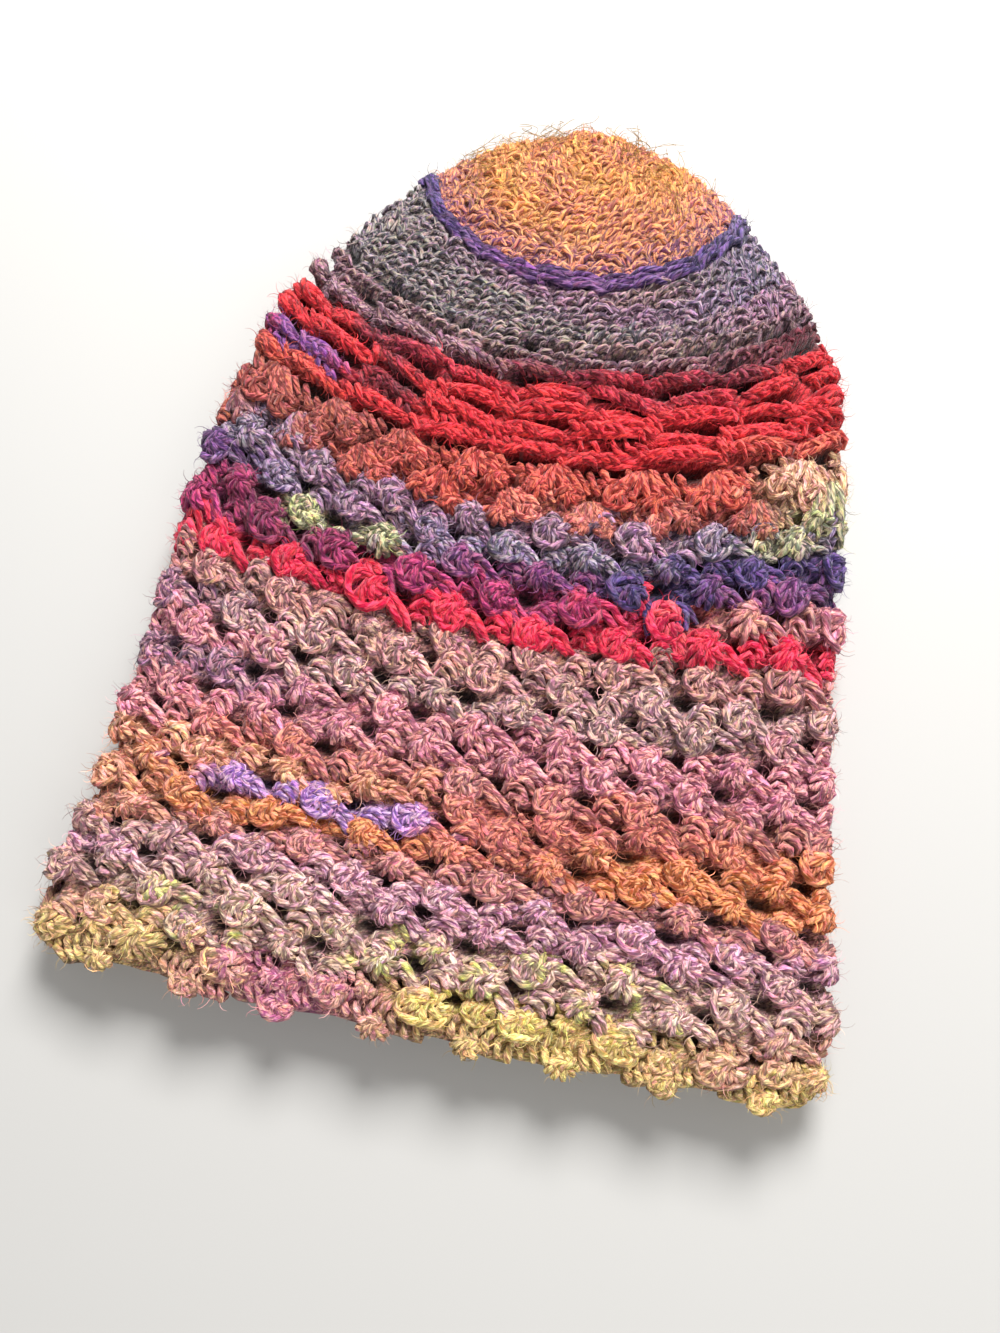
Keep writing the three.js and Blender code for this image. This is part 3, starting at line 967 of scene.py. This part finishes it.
@dataclass(frozen=True)
class Wool:
    """The finish of heathered, loosely twisted wool yarn.

    Attributes:
        name: the material's name.
        twist: turn of the plies for each mm of yarn, in radians.
        streak: streaks of light fibre for each mm along the yarn, and for each radius across it.
        hair: single hairs, in the same way.
        hair_span: where the hairs' noise starts and ends to count.
        hair_tone: lightness of the darkest and the lightest hairs.
        contrast: how gently light and dark fibres part.
        groove_shade: painted shade in the crease between the plies: how much darker it is there.
        relief: height of the plies and hairs, in mm.
        sheen: how much light the loose fibres catch.
        heather: how far single fibres differ in hue.
    """

    name: str
    twist: float = 0.36
    streak: tuple[float, float] = (0.3, 1.1)
    hair: tuple[float, float] = (0.75, 4.4)
    hair_span: tuple[float, float] = (0.32, 0.68)
    hair_tone: tuple[float, float] = (0.5, 1.45)
    contrast: float = 0.16
    groove_shade: float = 0.22
    relief: float = 0.9
    sheen: float = 0.18
    heather: float = 0.6

    def make(self) -> bpy.types.Material:
        """Build the material.

        Returns:
            A material that reads the yarn's own attributes.
        """
        material = bpy.data.materials.new(self.name)
        material.use_nodes = True
        material.node_tree.nodes.clear()
        build = NodeTree(material.node_tree)
        along, across, shade, fleck = (
            build.add("ShaderNodeAttribute", attribute_name=name).outputs
            for name in ("along", "across", "shade", "fleck")
        )
        angle = build.math("MULTIPLY", along["Fac"], self.twist)
        plies = build.add(
            "ShaderNodeVectorRotate", {"Vector": across["Vector"], "Angle": angle}, rotation_type="Z_AXIS"
        )
        turned = build.add("ShaderNodeSeparateXYZ", {0: plies.outputs[0]}).outputs
        streaks, hairs = (
            build.add("ShaderNodeTexNoise", {"Vector": place, "Scale": 1.0, **how}).outputs
            for place, how in (
                (self._fibre_place(build, along, turned, self.streak), {"Detail": 1.0, "Distortion": 0.4}),
                (self._fibre_place(build, along, turned, self.hair), {"Detail": 3.0}),
            )
        )
        low = 0.5 - self.contrast / 2
        parting = build.span(streaks["Fac"], low, 1 - low, kind="SMOOTHSTEP")
        ply = build.span(build.math("ABSOLUTE", turned[0]), 0.0, 0.5, kind="SMOOTHSTEP")
        tone = build.span(hairs["Fac"], *self.hair_span, *self.hair_tone)
        # painted shade: the crease between the plies is darkened; tone is the hairs' own lighter and darker
        # fibres
        light = build.math("MULTIPLY", tone, build.span(ply, to_low=1 - self.groove_shade))
        mixed = build.add(
            "ShaderNodeMix", {0: parting, 6: shade["Color"], 7: fleck["Color"]}, data_type="RGBA"
        )
        hue = {0: streaks["Color"], 1: (2 * self.heather,) * 3, 2: (1 - self.heather,) * 3}
        tinted = build.vector("MULTIPLY", {0: mixed.outputs[2], 1: build.vector("MULTIPLY_ADD", hue)})
        height = build.math("ADD", build.math("MULTIPLY", ply, 0.6), hairs["Fac"])
        bump = build.add(
            "ShaderNodeBump", {"Strength": 0.8, "Distance": self.relief * MM, "Height": height}
        )
        shader = build.add(
            "ShaderNodeBsdfPrincipled",
            {
                "Base Color": build.vector("SCALE", {0: tinted, "Scale": light}), "Roughness": 0.95,
                "Normal": bump.outputs["Normal"], "Sheen Weight": self.sheen, "Sheen Roughness": 0.5,
                "Specular IOR Level": 0.1,
            },
        )
        build.add("ShaderNodeOutputMaterial", {"Surface": shader.outputs[0]})
        return material

    @staticmethod
    def _fibre_place(
        build: NodeTree, along: bpy.types.bpy_prop_collection, turned: bpy.types.bpy_prop_collection,
        pace: tuple[float, float],
    ) -> Socket:
        """Texture place that is drawn out along the plies.

        Args:
            build: the material's tree.
            along: outputs that hold the length along the yarn.
            turned: outputs that hold the place across the twisted plies.
            pace: texture units for each mm along, and for each radius across.

        Returns:
            The output that holds the place.
        """
        parts = ((along["Fac"], pace[0]), (turned[0], pace[1]), (turned[1], pace[1]))
        inputs = {k: build.math("MULTIPLY", value, scale) for k, (value, scale) in enumerate(parts)}
        return build.add("ShaderNodeCombineXYZ", inputs).outputs[0]


@dataclass(frozen=True)
class SpunYarn:
    """Geometry nodes that turn lines into spun, fuzzy yarn.

    Attributes:
        sides: sides of the yarn's section.
        fuzz: loose fibres for each square metre of yarn.
        fibre: length of a loose fibre, in mm.
        thin: thickness of a loose fibre at its root, in mm.
        seed: start of the random numbers.
        proud: how far out yarn lies that has fibres, from 0 to 1.
        room: lowest height of a fibre's root, in fibre lengths.
        tip: where a fibre ends, in fibre lengths.
        middle: where it is drawn to on its way.
    """

    sides: int = 5
    fuzz: float = 125000.0
    fibre: float = 6.0
    thin: float = 0.27
    seed: int = 5
    proud: float = 0.4
    room: float = 1.3
    tip: Spot = (0.0, 0.55, 0.75)
    middle: Spot = (0.15, 0.0, 0.6)

    def tree(self) -> bpy.types.NodeTree:
        """Build the node tree.

        Returns:
            The tree, whose inputs are the first sizes above and a material.
        """
        tree = bpy.data.node_groups.new("spun_yarn", "GeometryNodeTree")
        for name, kind in (
            ("Geometry", "Geometry"), ("Sides", "Int"), ("Seed", "Int"), ("Fuzz", "Float"),
            ("Fibre Length", "Float"), ("Fibre Thickness", "Float"), ("Material", "Material"),
        ):
            tree.interface.new_socket(name, in_out="INPUT", socket_type="NodeSocket" + kind)
        tree.interface.new_socket("Geometry", in_out="OUTPUT", socket_type="NodeSocketGeometry")
        build = NodeTree(tree)
        given = build.add("NodeGroupInput").outputs
        yarn = self._tube(build, given)
        fibres = self._fibres(build, given, yarn)
        both = build.add("GeometryNodeJoinGeometry")
        tree.links.new(fibres, both.inputs[0])
        tree.links.new(yarn, both.inputs[0])
        real = build.add("GeometryNodeRealizeInstances", {"Geometry": both.outputs[0]})
        dressed = build.add(
            "GeometryNodeSetMaterial", {"Geometry": real.outputs[0], "Material": given["Material"]}
        )
        build.add("NodeGroupOutput", {"Geometry": dressed.outputs[0]})
        return tree

    @staticmethod
    def _tube(build: NodeTree, given: bpy.types.bpy_prop_collection) -> Socket:
        """Nodes that sweep a round section along the lines.

        Args:
            build: the tree.
            given: the tree's inputs.

        Returns:
            The output that holds the yarn.
        """
        lines = build.add("GeometryNodeMeshToCurve", {"Mesh": given["Geometry"]})
        ring = build.add("GeometryNodeCurvePrimitiveCircle", {"Resolution": given["Sides"], "Radius": 1.0})
        spot = build.add("GeometryNodeInputPosition")
        marked = build.add(
            "GeometryNodeStoreNamedAttribute",
            {"Geometry": ring.outputs["Curve"], "Name": "across", "Value": spot.outputs[0]},
            data_type="FLOAT_VECTOR", domain="POINT",
        )
        tube = build.add(
            "GeometryNodeCurveToMesh",
            {
                "Curve": lines.outputs["Curve"], "Profile Curve": marked.outputs[0],
                "Scale": build.read("radius"), "Fill Caps": True,
            },
        )
        return build.add("GeometryNodeSetShadeSmooth", {"Geometry": tube.outputs["Mesh"]}).outputs[0]

    def _fibres(
        self, build: NodeTree, given: bpy.types.bpy_prop_collection, yarn: Socket
    ) -> Socket:
        """Nodes that set loose fibres on the outer side of the yarn, away from the floor.

        Args:
            build: the tree.
            given: the tree's inputs.
            yarn: the output that holds the yarn.

        Returns:
            The output that holds the fibres.
        """
        length = given["Fibre Length"]
        spot = build.add("ShaderNodeSeparateXYZ", {0: build.add("GeometryNodeInputPosition").outputs[0]})
        proud = build.above(build.read("outer"), self.proud)
        high = build.above(spot.outputs[2], build.math("MULTIPLY", length, self.room))
        chosen = build.add("FunctionNodeBooleanMath", {0: proud, 1: high}, operation="AND")
        roots = build.add(
            "GeometryNodeDistributePointsOnFaces",
            {"Mesh": yarn, "Selection": chosen.outputs[0], "Density": given["Fuzz"], "Seed": given["Seed"]},
        )
        bend = build.add(
            "GeometryNodeCurveQuadraticBezier",
            {
                "Resolution": 2, "Start": (0.0, 0.0, 0.0),
                "Middle": build.vector("SCALE", {0: self.middle, "Scale": length}),
                "End": build.vector("SCALE", {0: self.tip, "Scale": length}),
            },
        )
        flat = build.add(
            "GeometryNodeCurvePrimitiveLine", {"Start": (-0.5, 0.0, 0.0), "End": (0.5, 0.0, 0.0)}
        )
        part = build.add("GeometryNodeSplineParameter")
        taper = build.span(part.outputs["Factor"], to_low=1.0, to_high=0.25)
        fibre = build.add(
            "GeometryNodeCurveToMesh",
            {
                "Curve": bend.outputs[0], "Profile Curve": flat.outputs["Curve"],
                "Scale": build.math("MULTIPLY", taper, given["Fibre Thickness"]), "Fill Caps": False,
            },
        )
        lean = build.add(
            "FunctionNodeRandomValue", {"Min": (-1.0, -1.0, -3.1), "Max": (1.0, 1.0, 3.1), "Seed": 7},
            data_type="FLOAT_VECTOR",
        )
        turn = build.add("FunctionNodeEulerToRotation", {0: lean.outputs[0]})
        rotation = build.add(
            "FunctionNodeRotateRotation",
            {"Rotation": roots.outputs["Rotation"], "Rotate By": turn.outputs[0]}, rotation_space="LOCAL",
        )
        size = build.add("FunctionNodeRandomValue", {"Seed": 8, 2: 0.25, 3: 1.0}, data_type="FLOAT")
        return build.add(
            "GeometryNodeInstanceOnPoints",
            {
                "Points": roots.outputs["Points"], "Instance": fibre.outputs[0],
                "Rotation": rotation.outputs[0], "Scale": size.outputs[1],
            },
        ).outputs[0]

    def spin(self, lines: Piece, tree: bpy.types.NodeTree, material: bpy.types.Material) -> Piece:
        """Turn an object of lines into a plain mesh of yarn.

        Args:
            lines: the object made by a yarn buffer.
            tree: the node tree.
            material: the yarn's finish.

        Returns:
            The same object, with a plain mesh.
        """
        values = {
            "Sides": self.sides, "Fuzz": self.fuzz, "Fibre Length": self.fibre * MM,
            "Fibre Thickness": self.thin * MM, "Seed": self.seed, "Material": material,
        }
        modifier = lines.modifiers.new("yarn", "NODES")
        modifier.node_group = tree
        for item in tree.interface.items_tree:
            if item.in_out == "INPUT" and item.name in values:
                modifier[item.identifier] = values[item.name]
        bpy.context.view_layer.update()
        evaluated = lines.evaluated_get(bpy.context.evaluated_depsgraph_get())
        mesh = bpy.data.meshes.new_from_object(evaluated)
        lines.modifiers.clear()
        old = lines.data
        lines.data = mesh
        bpy.data.meshes.remove(old)
        mesh.name = lines.name
        return lines


@dataclass(frozen=True)
class Round:
    """One round of the hat.

    Attributes:
        stitch: its stitch group.
        count: groups in the round.
        phase: turn of the first group, in groups.
    """

    stitch: Stitch
    count: int
    phase: float


@dataclass
class Ground:
    """The knitted wall behind the raised stitches of one band, as a closed ring.

    Attributes:
        surface: the hat's surface.
        shades: the colours of the yarn.
        rounds: all rounds of the hat, for their gaps.
        columns: columns round the hat.
        face: how deep its outer face lies under the bare wall, away from its mounds, in mm.
        back: how deep its inner face lies, in mm.
        pit: how deep a gap is, in mm.
        ground_shade: lightness of the painted shade on its outer face beside the stitches.
        inside: lightness of the painted shade on its inner face, in the hat's hollow.
        rib: half the height of the fine ribs outside, in mm.
        ripple: half the height of the waves inside, in mm.
        rest: lowest height of its outer face, in mm, and how much higher a gap stays.
        clear: lowest height of its inner face, in mm.
    """

    surface: HatSurface
    shades: YarnShades
    rounds: list[Round]
    columns: int = 306
    face: float = 0.8
    back: float = 5.2
    pit: float = 4.0
    ground_shade: float = 0.8
    inside: float = 0.7
    rib: float = 0.5
    ripple: float = 0.35
    rest: tuple[float, float] = (1.5, 2.0)
    clear: float = 5.0

    @staticmethod
    def _far(index: int, row: Round, oval: tuple[float, ...], rounds: Array, turns: Array) -> Array:
        """How far places are from the nearest oval of a round: the square of 1 at its edge.

        Args:
            index: the round's number.
            row: the round.
            oval: its place in the group and its half sizes: across, up, half width and half height.
            rounds: rounds of the places.
            turns: turns of the places.

        Returns:
            The squares.
        """
        at, middle, half_wide, half_tall = oval[:4]
        up = (rounds - index) * row.stitch.tall - middle
        group = turns * row.count - row.phase - at / row.stitch.wide
        across = ((group + 0.5) % 1.0 - 0.5) * row.stitch.wide
        return (across / half_wide) ** 2 + (up / half_tall) ** 2

    def relief(self, rounds: Array, turns: Array) -> tuple[Array, Array]:
        """How far the wall stands out under the stitches, and its gaps.

        Args:
            rounds: rounds of the places.
            turns: turns of the places.

        Returns:
            The rise in mm, 0 away from the mounds, and 1 in the middle of a gap, 0 away from gaps.
        """
        rise, gap = np.zeros(rounds.shape), np.zeros(rounds.shape)
        for index, row in enumerate(self.rounds):
            for mound in row.stitch.mounds:
                far = self._far(index, row, mound, rounds, turns)
                rise = np.maximum(rise, mound[4] * np.exp(-(far**2)))
            if row.stitch.hole is not None:
                far = self._far(index, row, row.stitch.hole, rounds, turns)
                gap = np.maximum(gap, np.exp(-(far**2.5)))
        return rise, gap

    def mesh(self, name: str, low: float, high: float, dyes: list[Dye], closed: bool = False) -> Piece:
        """Build the ring.

        Args:
            name: the object's name.
            low: round of its lower edge.
            high: round of its upper edge.
            dyes: where the colours of each round in it come from.
            closed: whether the top is closed over, as at the crown.

        Returns:
            The ring as an object.
        """
        rows = np.linspace(low, high, int(round((high - low) * 4)) + 1)
        turns = np.arange(self.columns) / self.columns
        outer = self._face(rows, turns, dyes, low, False)
        inner = self._face(rows[::-2], turns, dyes, low, True)
        place, colours, rounds = (np.concatenate((a, b), axis=1) for a, b in zip(outer, inner))
        count = rounds.shape[1]
        index = np.arange(self.columns * count).reshape(self.columns, count)
        right = np.roll(index, -1, axis=0)
        quads = np.stack((index, right, np.roll(right, -1, axis=1), np.roll(index, -1, axis=1)), axis=-1)
        ribs = rounds * GROUND_RIBS + turns[:, None] * RIB_SLANT
        along = np.broadcast_to(turns[:, None] * 400, rounds.shape)
        across = np.stack((np.cos(ribs), np.sin(ribs), np.zeros(ribs.shape)), axis=-1)
        points, colours, along, across = (
            values.reshape(-1, size) for values, size in ((place, 3), (colours, 6), (along, 1), (across, 3))
        )
        faces = []
        if closed:
            top = len(rows) - 1
            quads = np.delete(quads, top, axis=1)
            for ring, flip in ((top, False), (top + 1, True)):
                pole = len(points)
                points = np.vstack((points, place[:, ring].mean(axis=0)))
                colours, along, across = (
                    np.vstack((values, last)) for values, last in (
                        (colours, colours[index[0, ring]]), (along, 0.0), (across, across[index[0, ring]]),
                    )
                )
                for first, second in zip(index[:, ring].tolist(), right[:, ring].tolist()):
                    faces.append([second, first, pole] if flip else [first, second, pole])
        mesh = bpy.data.meshes.new(name)
        mesh.from_pydata((points * MM).tolist(), [], quads.reshape(-1, 4).tolist() + faces)
        store_colours(mesh, colours)
        store(mesh, "along", along)
        store(mesh, "across", across)
        mesh.polygons.foreach_set("use_smooth", [True] * len(mesh.polygons))
        return linked(name, mesh)

    def _face(
        self, rows: Array, turns: Array, dyes: list[Dye], low: float, inner: bool
    ) -> tuple[Array, Array, Array]:
        """Points and colours of the outer or the inner face.

        Args:
            rows: rounds of its rows.
            turns: turns of its columns.
            dyes: where the colours of each round come from.
            low: the band's first round.
            inner: whether it is the inner face.

        Returns:
            Places, colours and rounds, columns by rows.
        """
        rounds = np.broadcast_to(rows, (len(turns), len(rows)))
        all_turns = np.broadcast_to(turns[:, None], rounds.shape)
        colours = np.zeros((*rounds.shape, 6))
        for index, at_round in enumerate(rows):
            number = int(np.clip(math.floor(at_round - low + 0.001), 0, len(dyes) - 1))
            colours[:, index] = self.shades.at(dyes[number], rounds[:, index], turns)
        if inner:
            ripple = self.ripple * np.cos(2 * math.pi * rounds)
            place = self.surface.place(rounds, all_turns, ripple - self.back, self.clear)
            # painted shade: the inner face, in the hat's hollow, is darkened
            return place, colours * self.inside, rounds
        rise, gap = self.relief(rounds, all_turns)
        out = self.rib * np.cos(rounds * GROUND_RIBS + all_turns * RIB_SLANT) - self.face + rise
        out = out * (1 - gap) - self.pit * gap
        place = self.surface.place(rounds, all_turns, out, self.rest[0] + self.rest[1] * gap)
        # painted shade: the outer face is darkened beside the stitches, and painted nearly black in its gaps
        return place, colours * (self.ground_shade * (1 - 0.9 * gap))[..., None], rounds


def joined(pieces: list[Piece], name: str) -> Piece:
    """Join objects into the first one.

    Args:
        pieces: the objects.
        name: name of the result.

    Returns:
        The joined object.
    """
    with bpy.context.temp_override(
        active_object=pieces[0], selected_objects=pieces, selected_editable_objects=pieces
    ):
        bpy.ops.object.join()
    pieces[0].name = name
    pieces[0].data.name = name
    return pieces[0]


@dataclass
class Workshop:
    """What every band is made with.

    Attributes:
        surface: the hat's surface.
        shades: the colours of the yarn.
        spun: the yarn's make.
        tree: the node tree of the yarn.
        ground: the wall behind the stitches.
    """

    surface: HatSurface
    shades: YarnShades
    spun: SpunYarn
    tree: bpy.types.NodeTree
    ground: Ground

    def finish(self, node: str, yarn: YarnBuffer, backing: Piece, fuzz: float = 1.0) -> Piece:
        """Spin a band's yarn, join it to its ground and put it in its node's place.

        Args:
            node: the frame's node.
            yarn: the band's strands.
            backing: the band's ground.
            fuzz: how fuzzy the band is, beside the others.

        Returns:
            The finished piece.
        """
        material = Wool(node + "_wool").make()
        make = replace(self.spun, fuzz=self.spun.fuzz * fuzz)
        stitches = make.spin(yarn.lines(node + "_yarn"), self.tree, material)
        backing.data.materials.append(material)
        piece = joined([stitches, backing], node + "_stitches")
        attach(piece, "root")
        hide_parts(node)
        triangles = sum(len(face.vertices) - 2 for face in piece.data.polygons)
        log.info("%s: %d triangles", piece.name, triangles)
        return piece


@dataclass
class Band:
    """A band of rounds, which stands for one node of the frame.

    Attributes:
        node: the frame's node.
        first: its first round.
        rounds: its rounds.
        seed: start of its random numbers.
    """

    node: str
    first: int
    rounds: list[Round]
    seed: int

    def build(self, shop: Workshop) -> Piece:
        """Make the band.

        Args:
            shop: what it is made with.

        Returns:
            The finished piece.
        """
        yarn = YarnBuffer(shop.surface, shop.shades, self.seed)
        numbers = list(range(self.first, self.first + len(self.rounds)))
        for number, row in zip(numbers, self.rounds):
            yarn.lay(row.stitch, number, row.count, row.phase, number)
        backing = shop.ground.mesh(self.node + "_ground", self.first, numbers[-1] + 1, numbers)
        return shop.finish(self.node, yarn, backing)


@dataclass
class CrownDisc:
    """The crown's top, in fine even stitches that close at its middle.

    Attributes:
        node: the frame's node.
        first: its first round.
        last: where the stitches end, beside the pole.
        rows: rows of stitches in a round.
        wisps: long loose fibres round its edge.
        wisp: their thickness and the distance between their points, in mm, and how many points they have.
        edge: rounds where they start.
        left: share of the wisps on the left side.
        sides: turns of the left and the right side.
        fuzz: how fuzzy the disc is, beside the bands.
        seed: start of its random numbers.
    """

    node: str = "crown_disc"
    first: float = 34.0
    last: float = 40.6
    rows: int = 2
    wisps: int = 110
    wisp: tuple[float, float, int] = (0.2, 2.4, 12)
    edge: tuple[float, float] = (35, 39.8)
    left: float = 0.35
    sides: tuple[float, float] = (0.22, 0.76)
    fuzz: float = 1.6
    seed: int = 300

    def build(self, shop: Workshop) -> Piece:
        """Make the disc.

        Args:
            shop: what it is made with.

        Returns:
            The finished piece.
        """
        yarn = YarnBuffer(shop.surface, shop.shades, self.seed)
        for at_round in np.arange(self.first, self.last, 1 / self.rows):
            count = max(int(round(shop.surface.length(at_round) / GRAIN.wide)), 4)
            yarn.lay(GRAIN, at_round, count, yarn.random.uniform(), None, 1 / self.rows)
        self._fray(yarn)
        backing = shop.ground.mesh(self.node + "_ground", self.first, self.last, [None], True)
        return shop.finish(self.node, yarn, backing, self.fuzz)

    def _fray(self, yarn: YarnBuffer) -> None:
        """Lay long curled fibres that stand out at the disc's edge.

        Args:
            yarn: the disc's strands.
        """
        one = (self.wisps, 1)
        thick, step, points = self.wisp
        part = np.linspace(0, 1, points)
        random = yarn.random
        curl, sway = (
            np.sin(part * random.uniform(*pace, one) + random.uniform(0, FULL_TURN, one))
            for pace in ((4, 9), (3, 8))
        )
        rounds = random.uniform(*self.edge, one) + part * (random.normal(0, 0.9, one) + 0.5 * curl)
        side = np.where(random.uniform(size=one) < self.left, *self.sides)
        stray = random.normal(0, 0.05, one) + 0.02 * sway
        turns = side + random.normal(0, 0.06, one) + part * stray
        out = 0.5 + part * random.uniform(3, 9.5, one) + part * sway
        yarn.add(rounds, turns, out, thick, Shade.WISP, step)


@dataclass(frozen=True)
class Studio:
    """Floor, lights and camera.

    Attributes:
        eye: the camera's place, in mm.
        right: the direction to the right of the picture.
        up: the direction up the picture.
        back: the direction from the hat to the camera.
        lens: focal length for a sensor 36 mm long, in mm.
        half: half the width of the floor, in m.
        floor: the floor's colour.
        room: strength of the even light of the room.
        lights: name, place and size in m, and power in W of the soft lights: a large one beyond the crown
            and a weak one from the hem.
    """

    eye: Spot = (28.8, -135.9, 357.0)
    right: Spot = (0.98508, 0.17080, -0.02128)
    up: Spot = (-0.15994, 0.95405, 0.25339)
    back: Spot = (0.06358, -0.24620, 0.96713)
    lens: float = 27.0
    half: float = 3.0
    floor: Spot = (0.52, 0.51, 0.49)
    room: float = 0.36
    lights: tuple[tuple[str, Spot, float, float], ...] = (
        ("key", (0.1, 0.75, 0.85), 0.5, 25.0),
        ("fill", (0.6, -0.7, 0.8), 0.9, 5.0),
    )

    def build(self) -> None:
        """Set up the studio, with plain colours in the picture."""
        bpy.context.scene.view_settings.view_transform = "Standard"
        self._floor()
        self._lights()
        self._camera()

    def _floor(self) -> None:
        """A plain pale floor."""
        mesh = bpy.data.meshes.new("floor")
        corners = [(x * self.half, y * self.half, 0) for x, y in ((-1, -1), (1, -1), (1, 1), (-1, 1))]
        mesh.from_pydata(corners, [], [(0, 1, 2, 3)])
        material = bpy.data.materials.new("pale_floor")
        material.use_nodes = True
        shader = material.node_tree.nodes["Principled BSDF"]
        shader.inputs["Base Color"].default_value = (*self.floor, 1)
        shader.inputs["Roughness"].default_value = 0.9
        mesh.materials.append(material)
        linked("floor", mesh)

    def _lights(self) -> None:
        """The soft lights and the even light of the room."""
        for name, place, size, power in self.lights:
            lamp = bpy.data.lights.new(name, "AREA")
            lamp.size = size
            lamp.energy = power
            light = linked(name, lamp)
            light.location = place
            light.rotation_mode = "QUATERNION"
            light.rotation_quaternion = (-light.location).to_track_quat("-Z", "Y")
        world = bpy.data.worlds.new("room")
        world.use_nodes = True
        background = world.node_tree.nodes["Background"]
        background.inputs["Color"].default_value = (1, 1, 1, 1)
        background.inputs["Strength"].default_value = self.room
        bpy.context.scene.world = world

    def _camera(self) -> None:
        """The camera at the photograph's angle."""
        data = bpy.data.cameras.new("camera")
        data.sensor_width = 36
        data.lens = self.lens
        data.clip_start = 0.01
        camera = linked("camera", data)
        turn = Matrix((self.right, self.up, self.back)).transposed().to_4x4()
        camera.matrix_world = Matrix.Translation([value * MM for value in self.eye]) @ turn
        bpy.context.scene.camera = camera


# Bands from the hem to the crown: node, stitch of each round, and whether the first round starts half a
# group along. The groups are UNITS to the round where the count is left open.
BANDS: tuple[tuple[str, tuple[Stitch, ...], bool], ...] = (
    ("hem_scallops", (PICOT, EDGING), True),
    ("flecked_bobbles", (BOBBLE,) * 2, True),
    ("mauve_bobbles", (BOBBLE,) * 3, True),
    ("orange_bobbles", (BOBBLE,) * 3, False),
    ("rose_bobbles", (BOBBLE,) * 3, False),
    ("tan_bobbles", (BOBBLE,) * 3, True),
    ("crimson_shells", (SHELL,) * 2, True),
    ("purple_shells", (SHELL,) * 3, True),
    ("salmon_shells", (FAN,) * 2, False),
    ("red_ridges", (RIDGE, CLOSE_RIDGE, RIDGE, RIDGE), False),
    ("crown_ridges", (RIDGE, SLOTTED, SLOTTED, CHAIN, CHAIN, CHAIN), False),
    ("crown_stripe", (BRAID,), False),
)
WHOLE_ROUND_STITCHES = (CHAIN, SLOTTED, BRAID)


def hat_rounds(surface: HatSurface) -> list[Round]:
    """All rounds, from the hem to the crown disc.

    Args:
        surface: the hat's surface, for the lengths of the rounds.

    Returns:
        The rounds in order.
    """
    rounds = []
    for _, stitches, shifted in BANDS:
        for index, stitch in enumerate(stitches):
            phase = 0.5 if (index % 2 == 1) != shifted else 0.0
            count = UNITS
            if stitch in WHOLE_ROUND_STITCHES:
                count = int(round(surface.length(len(rounds) + 0.5) / stitch.wide))
            if stitch in (RIDGE, CLOSE_RIDGE):
                phase = 0.08 * index
            rounds.append(Round(stitch, count, phase))
    rounds += [Round(GRAIN, UNITS, 0.0)] * (POLE_ROUND - len(rounds))
    return rounds


def main() -> None:
    """Build every band in order, from the hem to the crown."""
    logging.basicConfig(level=logging.INFO, format="%(name)s %(message)s")
    Studio().build()
    surface = HatSurface()
    shades = YarnShades(surface)
    spun = SpunYarn()
    rounds = hat_rounds(surface)
    shop = Workshop(surface, shades, spun, spun.tree(), Ground(surface, shades, rounds))
    first = 0
    for number, (node, stitches, _) in enumerate(BANDS):
        last = first + len(stitches)
        Band(node, first, rounds[first:last], 100 + number).build(shop)
        first = last
    CrownDisc().build(shop)


if __name__ == "__main__":
    main()
